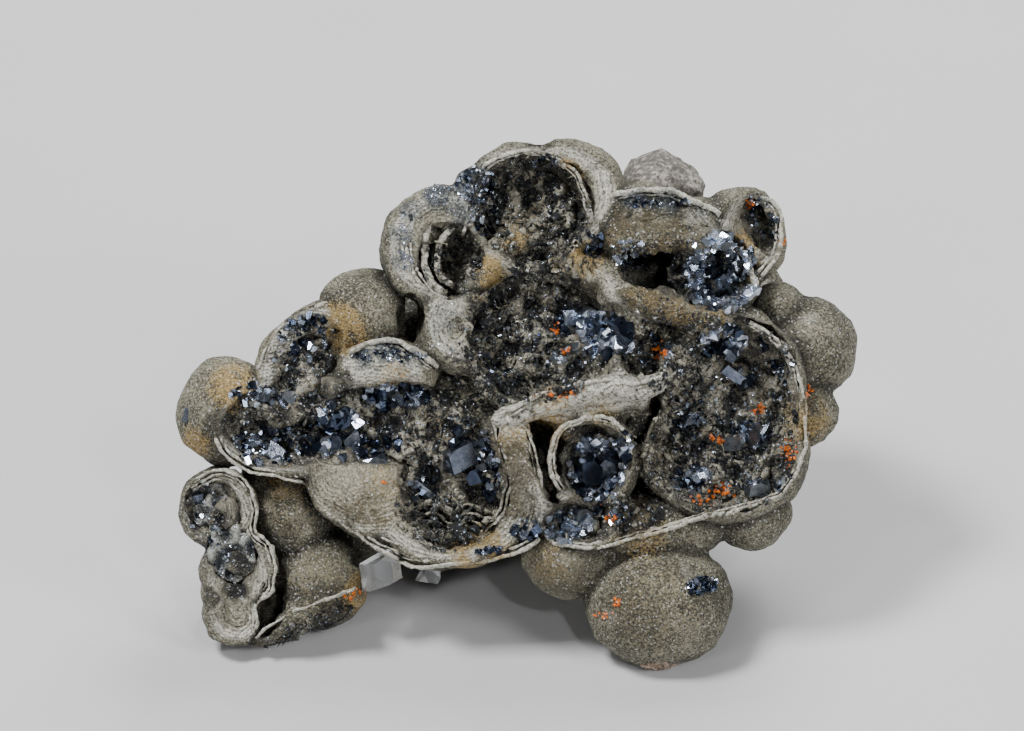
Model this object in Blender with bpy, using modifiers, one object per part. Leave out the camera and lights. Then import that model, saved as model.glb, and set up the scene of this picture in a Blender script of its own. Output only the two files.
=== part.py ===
"""Native arsenic: a broken cluster of grape-like lobes whose hollows are lined with dark crystals.

Everything is laid out in the face frame, in millimetres: across to the right, up along the broken
face, and out of it. A parent empty then leans that frame back, the way the piece rests on its feet.
"""

import math
import random

import bmesh
import bpy
from mathutils import Euler, Matrix, Vector, noise

MM = 0.001

# How the piece rests
LEAN_BACK = math.radians(35)        # the broken face leans this far back from upright
REST_SHIFT = Vector((-0.74, -6.66, 34.4))  # puts the middle of the underside at the origin, in mm

# Fineness of the solids
LUMP_ROUNDNESS = 3                  # subdivisions of the spheres that make up the lobes
HOLLOW_ROUNDNESS = 2
BODY_VOXEL = 0.6 * MM
BODY_SHARE_KEPT = 0.0135            # share of the fine triangles that the decimated body keeps
GAP = 0.35                          # clearance between neighbouring pieces, mm
LOBE_ROUGHNESS = 0.025              # how far a lobe departs from an ellipsoid, as a share of its radius
HOLLOW_ROUGHNESS = 0.06

# Lobes that the break cut through: centre, radii, turn in the face in degrees
BROKEN_LOBES = {
    "left": ((-26.5, -7.4, -3.0), (11.0, 6.7, 8.0), 0),
    "left_shoulder": ((-26.4, 2.4, -3.4), (7.3, 4.0, 6.0), 45),
    "arch": ((-15.7, -0.6, -3.0), (6.5, 4.2, 5.0), -6),
    "lower": ((-7.1, -16.8, -3.4), (10.8, 8.6, 9.0), 0),
    "cap": ((-17.0, -13.5, -4.0), (9.2, 8.2, 6.5), 0),
    "ear": ((-9.0, 14.7, -3.6), (7.7, 7.8, 8.0), 0),
    "ear_root": ((-7.0, 5.0, -4.0), (5.2, 6.4, 7.0), 20),
    "top_left": ((1.6, 19.2, -3.6), (8.8, 8.9, 8.5), 0),
    "top_knob": ((-4.0, 21.8, -3.4), (3.5, 3.4, 5.0), 0),
    "top_right": ((7.2, 21.2, -3.8), (7.2, 7.3, 8.0), 0),
    "drape": ((16.2, 17.6, -3.6), (6.2, 5.3, 6.0), 0),
    "drape_end": ((23.6, 17.6, -3.6), (4.6, 3.6, 5.0), -10),
    "vug": ((23.4, 12.0, -4.0), (8.1, 7.1, 8.0), 0),
    "right_top": ((28.9, 16.2, -4.6), (5.5, 6.4, 6.5), 0),
    "right": ((27.8, -4.3, -3.2), (9.4, 11.7, 9.5), 0),
    "right_low": ((26.6, -11.2, -3.2), (10.6, 8.6, 9.0), 0),
    "middle": ((7.0, 3.0, -4.0), (13.0, 12.0, 8.0), 0),
    "pod": ((10.2, -12.0, -3.0), (5.7, 6.3, 7.5), 0),
    "pod_foot": ((9.0, -18.6, -3.4), (5.9, 5.1, 6.5), 0),
    "gap_wall": ((1.4, -13.4, -3.6), (3.4, 8.4, 7.0), 12),
    "low_left_head": ((-36.9, -18.0, -6.0), (5.1, 5.2, 5.6), 0),
    "low_left_belly": ((-34.25, -25.6, -6.4), (5.0, 5.0, 5.4), 0),
    "low_left_foot": ((-35.0, -31.2, -7.0), (3.8, 4.2, 4.8), 0),
}

# Lobes that are whole, with their sugary skin: first those at the front, then those behind
WHOLE_LOBES = {
    "left_bulge": ((-35.5, -5.8, -7.0), (6.7, 6.8, 6.6), 0),
    "small_ball": ((-18.75, 6.7, -4.8), (5.6, 5.6, 5.6), 0),
    "right_ball": ((37.4, 2.3, -8.4), (6.3, 6.3, 6.5), 0),
    "right_knob": ((33.5, 6.7, -7.6), (3.9, 3.8, 4.5), 0),
    "right_under": ((36.5, -5.9, -7.4), (4.6, 4.7, 5.5), 0),
    "skirt_right": ((30.0, -18.2, -7.6), (5.1, 5.0, 5.5), 0),
    "skirt_middle": ((17.9, -20.6, -6.6), (9.4, 4.6, 6.0), 4),
    "skirt_left": ((7.2, -23.6, -6.6), (6.0, 5.8, 6.2), 0),
    "foot": ((18.4, -30.0, -5.6), (9.1, 8.0, 7.2), 0),
    "nest_upper": ((-28.0, -18.7, -9.4), (5.6, 5.6, 5.6), 0),
    "nest_lower": ((-24.2, -27.2, -10.2), (6.3, 6.0, 6.0), 0),
    "nest_floor": ((-26.6, -31.0, -9.0), (8.0, 2.7, 5.6), 27),
    "low_left_heel": ((-33.8, -28.6, -13.2), (5.4, 5.4, 5.4), 0),
    "core_low": ((-2.0, -6.0, -16.0), (31.0, 15.5, 12.0), 0),
    "core_high": ((12.0, 5.0, -14.0), (23.0, 18.0, 11.0), 0),
    "back_left": ((-25.5, -5.5, -18.0), (8.4, 8.0, 8.4), 0),
    "back_left_low": ((-21.0, -17.0, -17.5), (9.0, 8.0, 8.0), 0),
    "back_left_high": ((-15.0, 3.5, -19.5), (8.6, 8.0, 8.4), 0),
    "back_ear": ((-5.0, 11.5, -19.0), (8.6, 8.2, 8.4), 0),
    "back_top": ((8.5, 16.0, -18.5), (9.0, 8.6, 8.6), 0),
    "back_top_right": ((23.0, 12.5, -17.0), (8.8, 8.0, 8.0), 0),
    "back_right": ((33.0, 1.0, -15.5), (7.6, 8.0, 7.4), 0),
    "back_right_low": ((29.5, -12.0, -15.0), (8.0, 7.6, 7.6), 0),
    "back_middle": ((4.0, 3.0, -27.0), (10.0, 9.4, 9.4), 0),
    "back_middle_right": ((19.5, 1.0, -25.5), (9.4, 9.0, 9.0), 0),
    "rear_foot_left": ((-11.5, -9.8, -31.6), (8.8, 8.4, 8.8), 0),
    "rear_foot_right": ((14.5, -9.2, -32.4), (9.4, 8.6, 9.0), 0),
    "rear_bridge": ((2.0, -14.0, -25.0), (8.6, 7.0, 7.6), 0),
    "belly_left": ((-9.0, -18.6, -17.5), (8.4, 7.4, 7.6), 0),
    "belly_right": ((15.0, -20.5, -18.0), (8.6, 7.4, 7.4), 0),
}

# Hollows: centre and radii, turn in the face in degrees
HOLLOWS = {
    "left_crust": (
        ((-28.0, -7.6, 0.4), (8.7, 5.4, 8.4), 0),
        ((-14.4, -7.4, 0.4), (11.0, 5.5, 8.4), 0),
        ((-25.6, -0.2, 0.4), (3.7, 6.4, 6.4), -38),
        ((-7.3, -15.0, 0.6), (7.2, 8.2, 9.0), 0),
    ),
    "middle_crust": (((4.2, 3.4, 0.6), (9.6, 8.8, 8.6), 0),),
    "bridge_crust": (((17.6, 0.9, 0.2), (4.0, 3.9, 7.2), 0),),
    "top_crust": (((2.4, 20.0, 0.6), (8.0, 7.0, 10.2), -12),),
    "vug_crust": (((24.2, 12.1, 0.0), (6.5, 5.3, 8.8), 0),),
    "right_crust": (
        ((27.7, -4.5, 0.8), (8.8, 10.9, 9.6), 0),
        ((26.2, -10.9, 0.8), (9.9, 7.9, 9.0), 0),
    ),
    "pod_crust": (((10.3, -12.2, 0.6), (4.6, 5.2, 7.0), 0),),
    "pod_foot_crust": (((8.3, -19.8, 0.4), (4.8, 3.3, 5.6), 8),),
    "low_left_crust": (
        ((-37.5, -17.9, -2.8), (3.5, 4.2, 4.2), 20),
        ((-35.1, -23.9, -2.8), (3.3, 3.9, 4.2), 24),
    ),
}

# Clefts between lobes, with no crystals in them
CLEFTS = {
    "ear_pit": ((-7.6, 13.2, 0.4), (4.4, 5.0, 6.4), 15),
    "vug_deep": ((17.6, 12.4, -2.4), (4.6, 3.3, 9.6), 0),
    "pod_cleft": ((3.9, -11.6, -2.0), (1.7, 6.0, 8.6), 14),
    "under_shelf": ((4.4, -9.2, -1.6), (2.0, 2.4, 7.0), 14),
    "ball_recess": ((-12.7, 6.0, -2.2), (1.9, 3.2, 6.0), 0),
    "right_top_crescent": ((31.2, 17.6, -2.6), (2.2, 4.2, 3.6), 28),
    "nest_cleft": ((-30.3, -30.2, -5.4), (1.9, 4.4, 5.6), -14),
    "nest_corner": ((-18.2, -23.4, -6.0), (2.4, 2.4, 4.6), 35),
}

# Where the break runs, out of the face at points across and up it
BREAK_LEVELS = (
    (-37.0, -18.0, -3.6), (-34.5, -26.0, -4.0), (-35.0, -33.0, -5.0), (-36.0, -8.0, -1.2),
    (-28.0, -13.5, -0.8), (-27.0, 3.0, -2.2), (-16.0, 3.2, -0.2), (-20.9, -17.0, -1.4),
    (-8.0, -24.0, -0.6), (2.0, -19.0, 0.0), (-14.0, 13.0, 0.2), (-9.0, 20.5, -1.4),
    (-7.0, 5.0, 0.4), (2.0, 27.0, -2.2), (10.5, 22.0, 0.4), (15.0, 20.5, 1.0),
    (24.0, 19.4, 0.2), (32.0, 19.0, -2.6), (30.5, 10.0, -0.6), (6.0, 9.0, -0.6),
    (36.5, -3.0, 0.0), (36.0, -14.0, -0.2), (26.0, -19.4, 0.4), (9.0, -23.0, 0.2),
    (10.0, -7.4, 1.3), (5.4, -12.0, 1.0), (14.0, -4.0, 0.6), (-24.0, -16.5, -3.2),
    (-18.0, -21.0, -2.8), (1.2, -12.0, 0.6), (15.6, -12.0, 0.6),
)
BREAK_ROUGHNESS = 0.45
BREAK_CELL = 1.7
BREAK_FRONT = 14
BLOCK_REACH = (52, 46)

# How high the loose filling stands in the hollows
FILL_LEVELS = (
    (-28.0, -8.0, -5.4), (-18.0, -7.0, -4.8), (-26.0, 0.4, -3.8), (-7.6, -17.6, -6.0),
    (-10.0, -10.2, -3.4), (-26.2, -3.4, -2.8), (3.0, 6.0, -4.2), (6.0, 0.0, -5.4),
    (17.6, 1.0, -4.8), (2.0, 20.4, -6.8), (25.0, 12.0, -5.4), (27.6, -3.6, -6.4),
    (25.9, -11.6, -5.0), (10.2, -13.4, -4.4), (8.3, -19.7, -3.6), (-38.0, -18.6, -5.2),
    (-34.8, -24.7, -5.0), (-36.4, -21.4, -3.7),
)
FILL_ROUGHNESS = 0.8
FILL_CELL = 2.6
FILL_BACK = -30

# Ledges and lumps that cross or stand in the hollows: runs of round beads (across, up, out, radius)
LEDGES = {
    "shelf": (
        (-1.2, -6.6, -0.4, 1.4), (1.5, -5.9, 0.2, 1.7), (5.0, -4.6, 0.8, 2.0), (9.0, -3.4, 1.0, 2.1),
        (12.6, -2.8, 0.8, 2.0), (16.0, -3.0, 0.4, 1.6), (19.4, -1.6, -0.4, 1.4),
    ),
    "shelf_leg": ((16.2, -4.0, -1.8, 1.1), (15.8, -6.4, -2.2, 1.0), (15.2, -8.4, -2.8, 1.0)),
    "ridge": (
        (12.6, 8.8, -1.0, 1.5), (15.2, 8.6, -0.2, 1.9), (18.0, 7.0, 0.2, 1.9), (21.4, 6.2, 0.0, 1.9),
        (24.4, 5.4, -0.4, 1.8), (26.6, 5.0, -1.2, 1.3),
    ),
    "ridge_flank": ((22.6, 4.0, -2.0, 2.0), (20.6, 1.0, -2.6, 1.7), (19.6, -2.0, -1.8, 1.4)),
    "drape_edge": (
        (11.6, 18.6, -0.2, 1.4), (14.0, 16.4, -0.2, 2.2), (17.6, 16.0, 0.0, 2.4), (21.4, 15.8, -0.4, 2.1),
        (24.8, 16.2, -1.2, 1.6),
    ),
    "tan_lump": (
        (2.0, 15.6, -4.2, 2.2), (-0.6, 14.6, -3.0, 2.0), (-3.0, 12.4, -1.8, 1.9), (-4.6, 10.6, -1.8, 1.5),
    ),
    "chimney": (
        (6.6, 11.6, -3.0, 1.9), (8.0, 14.2, -2.4, 1.3), (9.4, 11.0, -2.6, 2.3), (11.0, 13.0, -3.4, 2.0),
    ),
    "lower_scallop": (
        (-13.0, -20.8, -4.0, 1.7), (-9.6, -21.9, -3.4, 1.7), (-5.8, -20.8, -3.6, 1.7),
        (-2.6, -21.6, -3.4, 1.6),
    ),
}
LEDGE_STEPS = 4                     # beads between two named ones
LEDGE_ROUGHNESS = 0.16
LEDGE_SHARE_KEPT = 0.06
LEDGE_CLEARANCE = 0.7              # how far crusts stay off the ledges, mm

# Chips of rock: centre and radii
MATRIX_ROCK = ((18.9, 21.6, -12.4), (7.2, 5.9, 7.4))
TIP_ROCK = ((18.7, -36.3, -6.6), (3.2, 2.7, 2.8))

# Single crystals: centre and radii, turns in degrees, material
SINGLE_CRYSTALS = {
    "calcite_large": (((-16.5, -25.8, -5.4), (1.9, 1.8, 1.8)), (25, 20, 30), "calcite"),
    "calcite_small": (((-10.4, -26.5, -6.2), (1.1, 0.8, 1.0)), (10, 15, -6), "calcite"),
    "steel_crystal": (((23.7, -27.4, 0.7), (2.3, 1.3, 1.2)), (-24, 14, -4), "steel_crystal"),
}

# The crystals that catch the eye: across, up, length, breadth, depth, and turns in degrees
LARGE_CRYSTALS = {
    "left_crust": (
        (-22.1, -6.7, (3.6, 2.6, 2.8), (20, 30, 8)),
        (-20.5, -9.3, (2.9, 2.4, 2.6), (35, 10, 40)),
        (-22.3, -10.0, (1.7, 2.9, 1.8), (10, 25, 4)),
        (-30.2, -10.2, (2.6, 2.6, 2.4), (30, 15, 70)),
        (-31.4, -4.4, (1.9, 2.3, 2.0), (25, 40, 10)),
        (-28.2, -4.9, (2.3, 2.0, 2.0), (15, 35, 60)),
        (-15.8, -3.9, (2.3, 2.0, 2.2), (30, 45, 20)),
        (-13.0, -3.7, (2.5, 2.1, 2.2), (10, 30, 50)),
        (-17.4, -9.6, (3.8, 1.8, 2.0), (15, 20, 18)),
        (-26.6, 1.6, (1.5, 2.0, 1.6), (20, 20, 30)),
        (-6.8, -13.4, (4.4, 3.7, 3.6), (25, 20, 28)),
        (-4.0, -15.0, (2.6, 2.2, 2.4), (15, 50, 35)),
        (-11.0, -15.6, (4.2, 1.6, 1.9), (20, 15, -38)),
        (-8.2, -18.6, (1.7, 1.4, 1.6), (30, 30, 0)),
    ),
    "middle_crust": (
        (7.2, 6.3, (2.9, 2.8, 2.6), (30, 20, 15)),
        (10.2, 5.8, (3.2, 3.0, 2.6), (20, 40, 50)),
        (10.6, 3.0, (3.0, 2.0, 2.0), (15, 20, -38)),
        (7.2, 2.4, (1.9, 1.7, 1.8), (10, 30, 70)),
    ),
    "bridge_crust": ((17.6, 0.6, (3.6, 3.4, 3.0), (35, 25, 10)),),
    "top_crust": (
        (-1.0, 18.8, (1.8, 1.2, 1.4), (20, 10, 40)),
        (4.2, 22.6, (1.8, 1.4, 1.6), (30, 30, 10)),
    ),
    "vug_crust": (
        (25.5, 12.1, (2.3, 1.9, 2.0), (35, 15, 30)),
        (26.4, 14.4, (1.9, 1.9, 1.8), (45, 35, 0)),
        (27.0, 9.9, (2.6, 2.1, 2.2), (20, 30, 55)),
        (22.4, 9.9, (2.2, 2.0, 2.0), (30, 20, 40)),
    ),
    "right_crust": (
        (28.4, 2.6, (3.1, 2.3, 2.4), (25, 25, -12)),
        (26.3, 1.6, (2.4, 2.1, 2.2), (40, 15, 30)),
        (27.8, -1.0, (4.0, 1.7, 1.9), (20, 15, -36)),
        (31.2, 1.6, (1.4, 2.6, 1.6), (10, 20, 24)),
        (22.4, -6.6, (3.2, 1.8, 2.0), (20, 35, 10)),
        (30.2, -8.6, (3.1, 2.4, 2.6), (30, 20, 40)),
        (22.2, -14.4, (2.8, 2.4, 2.4), (35, 30, 20)),
        (30.0, -14.6, (3.6, 1.9, 2.2), (15, 20, 12)),
    ),
    "pod_crust": (
        (9.4, -12.6, (3.4, 4.0, 3.6), (25, 20, 15)),
        (11.6, -12.0, (3.0, 3.4, 3.2), (40, 10, -25)),
        (12.0, -14.6, (2.6, 2.4, 2.6), (20, 45, 40)),
    ),
    "pod_foot_crust": (
        (8.8, -18.9, (2.8, 1.9, 2.2), (30, 25, 10)),
        (6.4, -19.9, (2.0, 1.8, 1.8), (15, 30, 60)),
    ),
    "low_left_crust": (
        (-39.0, -17.4, (1.7, 1.7, 1.6), (30, 20, 15)),
        (-37.2, -19.8, (1.2, 1.8, 1.4), (15, 25, 25)),
        (-34.9, -24.6, (1.6, 1.5, 1.5), (20, 40, 50)),
    ),
}
CRYSTAL_SUNK = 0.2                  # depth of a crystal's middle under the filling, as a share of its size
SMALL_CRYSTALS = {
    "left_crust": 12,
    "middle_crust": 6,
    "bridge_crust": 1,
    "top_crust": 5,
    "vug_crust": 4,
    "right_crust": 9,
    "pod_crust": 4,
    "pod_foot_crust": 2,
    "low_left_crust": 2,
}
SMALL_CRYSTAL_SIZE = (1.1, 1.9)
CRYSTAL_SHEAR = (0.22, 0.12, 0.18)  # how far a crystal leans off a box, as shares of its size
CRYSTAL_CORNERS = ((1, 1, 1), (-1, -0.6, 1))  # the two corners that are cut off
CORNER_CUT = 0.36                   # how far from the middle they are cut, as a share of the corner

# Angular chips of rock
CHIP_UNEVENNESS = 0.09
CHIP_FLAT = 0.78                    # how far from the middle a flat lies, as a share of the radius
MATRIX_FLATS = 9
TIP_FLATS = 6

# The slab that levels the feet
FLOOR_WIDTH = 160
FLOOR_DEPTH = 30

# Colour, roughness and metallic value of each material
MATERIALS = {
    "arsenic": ((0.30, 0.28, 0.22), 0.75, 0.15),
    "dark_crystal": ((0.09, 0.11, 0.16), 0.25, 0.85),
    "matrix_rock": ((0.50, 0.46, 0.40), 0.85, 0.0),
    "tip_rock": ((0.56, 0.44, 0.33), 0.85, 0.0),
    "calcite": ((0.62, 0.64, 0.64), 0.30, 0.0),
    "steel_crystal": ((0.16, 0.17, 0.23), 0.30, 0.9),
}


def clear_scene():
    """Removes what the file opened with."""
    for obj in list(bpy.data.objects):
        bpy.data.objects.remove(obj)


def new_collection(name):
    collection = bpy.data.collections.new(name)
    bpy.context.scene.collection.children.link(collection)
    return collection


def material(name):
    """The Principled material of this name, made once."""
    if name in bpy.data.materials:
        return bpy.data.materials[name]
    colour, roughness, metallic = MATERIALS[name]
    made = bpy.data.materials.new(name)
    made.use_nodes = True
    shader = made.node_tree.nodes["Principled BSDF"]
    shader.inputs["Base Color"].default_value = (*colour, 1)
    shader.inputs["Roughness"].default_value = roughness
    shader.inputs["Metallic"].default_value = metallic
    return made


def level_at(levels, across, up):
    """The height between named points, each weighing less the further it is."""
    total = weights = 0.0
    for x, y, level in levels:
        weight = 1 / (0.5 + (across - x) ** 2 + (up - y) ** 2) ** 1.5
        total += weight * level
        weights += weight
    return total / weights


def add_lump(
    bm, centre, radii, turn=0, roundness=LUMP_ROUNDNESS, roughness=LOBE_ROUGHNESS, shrink=0.0
):
    """Adds an uneven ellipsoid. Shrink takes it in towards its centre by that many millimetres."""
    made = bmesh.ops.create_icosphere(bm, subdivisions=roundness, radius=1)["verts"]
    seed = Vector(centre) * 0.37
    share = 1 - shrink / min(radii)
    place = (
        Matrix.Translation(Vector(centre) * MM)
        @ Matrix.Rotation(math.radians(turn), 4, "Z")
        @ Matrix.Diagonal((*(Vector(radii) * MM * share), 1))
    )
    for vert in made:
        vert.co *= 1 + roughness * noise.noise(vert.co * 2.1 + seed) * 2
    bmesh.ops.transform(bm, matrix=place, verts=made)


def add_crystal(bm, centre, size, turns, grow=0.0):
    """Adds a blocky crystal: a box with its edges sheared and two of its corners cut off."""
    made = bmesh.ops.create_cube(bm, size=1)["verts"]
    shear = Matrix.Identity(4)
    shear[0][1], shear[0][2], shear[1][2] = CRYSTAL_SHEAR
    bmesh.ops.transform(bm, matrix=shear, verts=made)
    for corner in map(Vector, CRYSTAL_CORNERS):
        geometry = list({f for v in made for f in v.link_faces}) + made
        geometry += list({e for v in made for e in v.link_edges})
        cut = bmesh.ops.bisect_plane(
            bm, geom=geometry, plane_co=corner * CORNER_CUT, plane_no=corner, clear_outer=True
        )
        rim = [e for e in cut["geom_cut"] if isinstance(e, bmesh.types.BMEdge)]
        face = bmesh.ops.contextual_create(bm, geom=rim)["faces"][0]
        made = sorted(connected(face.verts[0]), key=lambda v: v.index)
    grown = [(length + 2 * grow) * MM for length in size]
    angles = Euler([math.radians(turn) for turn in turns])
    turned = Matrix.Translation(Vector(centre) * MM) @ angles.to_matrix().to_4x4()
    place = turned @ Matrix.Diagonal((*grown, 1))
    bmesh.ops.transform(bm, matrix=place, verts=made)


def connected(start):
    """The vertices of the shell that start is on."""
    found, waiting = {start}, [start]
    while waiting:
        for edge in waiting.pop().link_edges:
            for vert in edge.verts:
                if vert not in found:
                    found.add(vert)
                    waiting.append(vert)
    return list(found)


def add_ledge(bm, beads, grow):
    """Adds overlapping beads along a run of named ones, so that they join in one ledge."""
    for (*start, first), (*end, last) in zip(beads, beads[1:]):
        for step in range(LEDGE_STEPS + 1):
            share = step / LEDGE_STEPS
            radius = first + (last - first) * share
            centre = Vector(start).lerp(Vector(end), share)
            radii = (radius * 1.15 + grow, radius * 0.85 + grow, radius + grow)
            add_lump(bm, centre, radii, 0, 2, LEDGE_ROUGHNESS)


def ledge_object(name, helpers, parent, grow, share):
    bm = bmesh.new()
    for beads in LEDGES.values():
        add_ledge(bm, beads, grow)
    ledges = make_object(name, bm, helpers, parent)
    remesh(ledges, BODY_VOXEL)
    decimate(ledges, share)
    return ledges


def add_uneven_block(bm, levels, roughness, cell, back, front):
    """Adds a block that spans the face, from its uneven side at the levels to a flat one.

    The uneven side faces backwards if the block lies in front of it, and forwards if it lies behind.
    """
    across, up = BLOCK_REACH
    columns, rows = round(2 * across / cell), round(2 * up / cell)
    bmesh.ops.create_grid(bm, x_segments=columns, y_segments=rows, size=1)
    bmesh.ops.scale(bm, vec=(across * MM, up * MM, 1), verts=bm.verts)
    faces = bmesh.ops.extrude_face_region(bm, geom=bm.faces[:])["geom"]
    lifted = {v for v in faces if isinstance(v, bmesh.types.BMVert)}
    for vert in bm.verts:
        x, y = vert.co.x / MM, vert.co.y / MM
        bump = noise.fractal(Vector((x, y, 3.0)) * 0.32, 1.0, 2.0, 3) * roughness
        uneven = level_at(levels, x, y) + bump
        bottom = uneven if back is None else back
        top = uneven if front is None else front
        vert.co.z = (top if vert in lifted else bottom) * MM
    bmesh.ops.triangulate(bm, faces=bm.faces)
    bmesh.ops.recalc_face_normals(bm, faces=bm.faces)


def make_object(name, bm, collection, parent, helper=True):
    """Turns a bmesh into an object in the face frame. A helper only shapes others."""
    mesh = bpy.data.meshes.new(name)
    bm.to_mesh(mesh)
    bm.free()
    made = bpy.data.objects.new(name, mesh)
    collection.objects.link(made)
    made.parent = parent
    if helper:
        made.hide_render = True
        made.display_type = "WIRE"
    return made


def lump_object(name, rows, collection, parent, **how):
    bm = bmesh.new()
    for centre, radii, turn in rows:
        add_lump(bm, centre, radii, turn, **how)
    return make_object(name, bm, collection, parent)


def remesh(obj, voxel):
    """Melts overlapping shapes into one skin."""
    modifier = obj.modifiers.new("melt", "REMESH")
    modifier.mode = "VOXEL"
    modifier.voxel_size = voxel


def decimate(obj, share):
    modifier = obj.modifiers.new("thin_out", "DECIMATE")
    modifier.ratio = share


def boolean(obj, operation, other, overlapping=True):
    """Joins, cuts or intersects with another object. Overlapping is for one made of several shapes."""
    modifier = obj.modifiers.new(operation.lower() + "_" + other.name, "BOOLEAN")
    modifier.operation = operation
    modifier.object = other
    modifier.solver = "EXACT"
    modifier.use_self = overlapping


def floor_cutter(helpers):
    """A slab whose top is the surface that the piece rests on."""
    bm = bmesh.new()
    bmesh.ops.create_cube(bm, size=1)
    bmesh.ops.scale(bm, vec=Vector((FLOOR_WIDTH, FLOOR_WIDTH, FLOOR_DEPTH)) * MM, verts=bm.verts)
    bmesh.ops.translate(bm, vec=Vector((0, 0, -FLOOR_DEPTH / 2)) * MM, verts=bm.verts)
    return make_object("floor_cutter", bm, helpers, None)


def build_body(name, shown, helpers, parent, sockets, floor):
    """The arsenic itself: lobes, the break, the hollows, the clefts and the ledges."""
    body = lump_object(name, BROKEN_LOBES.values(), shown, parent)
    body.hide_render = False
    body.display_type = "TEXTURED"
    whole = lump_object("whole_lobes", WHOLE_LOBES.values(), helpers, parent)
    remesh(whole, BODY_VOXEL)
    block = bmesh.new()
    add_uneven_block(block, BREAK_LEVELS, BREAK_ROUGHNESS, BREAK_CELL, back=None, front=BREAK_FRONT)
    broken_front = make_object("broken_front", block, helpers, parent)
    remesh(body, BODY_VOXEL)
    boolean(body, "DIFFERENCE", broken_front, overlapping=False)
    boolean(body, "UNION", whole, overlapping=False)
    remesh(body, BODY_VOXEL)
    decimate(body, BODY_SHARE_KEPT)
    cuts = [row for rows in HOLLOWS.values() for row in rows] + list(CLEFTS.values())
    hollows = lump_object(
        "hollows", cuts, helpers, parent, roundness=HOLLOW_ROUNDNESS, roughness=HOLLOW_ROUGHNESS
    )
    boolean(body, "DIFFERENCE", hollows)
    ledges = ledge_object("ledges", helpers, parent, 0, LEDGE_SHARE_KEPT)
    boolean(body, "UNION", ledges, overlapping=False)
    for socket in sockets:
        boolean(body, "DIFFERENCE", socket)
    boolean(body, "DIFFERENCE", floor, overlapping=False)
    body.data.materials.append(material("arsenic"))
    return body


def hollow_spots(rows, count, dice):
    """Seeded places across the floors of hollows, away from their walls."""
    for _ in range(count):
        centre, radii, turn = dice.choice(rows)
        angle, reach = dice.uniform(0, 2 * math.pi), 0.66 * math.sqrt(dice.random())
        offset = Vector((math.cos(angle) * radii[0], math.sin(angle) * radii[1])) * reach
        offset = Matrix.Rotation(math.radians(turn), 2) @ offset
        yield centre[0] + offset.x, centre[1] + offset.y


def build_crust(name, shown, helpers, parent, clearance):
    """The filling of one hollow and the crystals grown on it, as one crust that fits the hollow."""
    rows = HOLLOWS[name]
    crust = lump_object(
        name, rows, shown, parent, roundness=HOLLOW_ROUNDNESS, roughness=HOLLOW_ROUGHNESS, shrink=GAP
    )
    crust.hide_render = False
    crust.display_type = "TEXTURED"
    block = bmesh.new()
    add_uneven_block(block, FILL_LEVELS, FILL_ROUGHNESS, FILL_CELL, back=FILL_BACK, front=None)
    growth = make_object(name + "_growth", block, helpers, parent)
    dice = random.Random(name)
    bm = bmesh.new()
    for across, up, size, turns in LARGE_CRYSTALS[name]:
        level = level_at(FILL_LEVELS, across, up) - CRYSTAL_SUNK * size[2]
        add_crystal(bm, (across, up, level), size, turns)
    for across, up in hollow_spots(rows, SMALL_CRYSTALS[name], dice):
        size = [dice.uniform(*SMALL_CRYSTAL_SIZE) for _ in range(3)]
        turns = [dice.uniform(0, 90) for _ in range(3)]
        level = level_at(FILL_LEVELS, across, up) - CRYSTAL_SUNK * size[2]
        add_crystal(bm, (across, up, level), size, turns)
    bmesh.ops.triangulate(bm, faces=bm.faces)
    crystals = make_object(name + "_crystals", bm, helpers, parent)
    boolean(growth, "UNION", crystals)
    boolean(crust, "INTERSECT", growth)
    boolean(crust, "DIFFERENCE", clearance, overlapping=False)
    crust.data.materials.append(material("dark_crystal"))
    return crust


def add_chip(bm, centre, radii, flats, grow=0.0):
    """Adds an angular chip: a faceted lump with seeded flats cut across it."""
    made = bmesh.ops.create_icosphere(bm, subdivisions=2, radius=1)["verts"]
    dice = random.Random(str(centre))
    for vert in made:
        vert.co *= 1 + CHIP_UNEVENNESS * noise.noise(vert.co * 1.7 + Vector(centre))
    for _ in range(flats):
        way = Vector([dice.gauss(0, 1) for _ in range(3)]).normalized()
        for vert in made:
            over = vert.co.dot(way) - CHIP_FLAT
            if over > 0:
                vert.co -= way * over
    place = Matrix.Translation(Vector(centre) * MM) @ Matrix.Diagonal(
        (*((Vector(radii) + Vector((grow,) * 3)) * MM), 1)
    )
    bmesh.ops.transform(bm, matrix=place, verts=made)


def build_chip(name, spec, flats, shown, helpers, parent):
    """A chip of another mineral, with the socket that it sits in."""
    bm, around = bmesh.new(), bmesh.new()
    add_chip(bm, *spec, flats)
    add_chip(around, *spec, flats, grow=GAP)
    chip = make_object(name, bm, shown, parent, helper=False)
    chip.data.materials.append(material(name))
    return chip, make_object(name + "_socket", around, helpers, parent)


def build_crystal_piece(name, spec, turns, slot, shown, helpers, parent):
    """One crystal of its own. Returns its socket."""
    centre, radii = spec
    size = [2 * radius for radius in radii]
    bm, around = bmesh.new(), bmesh.new()
    add_crystal(bm, centre, size, turns)
    add_crystal(around, centre, size, turns, grow=GAP)
    piece = make_object(name, bm, shown, parent, helper=False)
    piece.data.materials.append(material(slot))
    return make_object(name + "_socket", around, helpers, parent)


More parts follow.
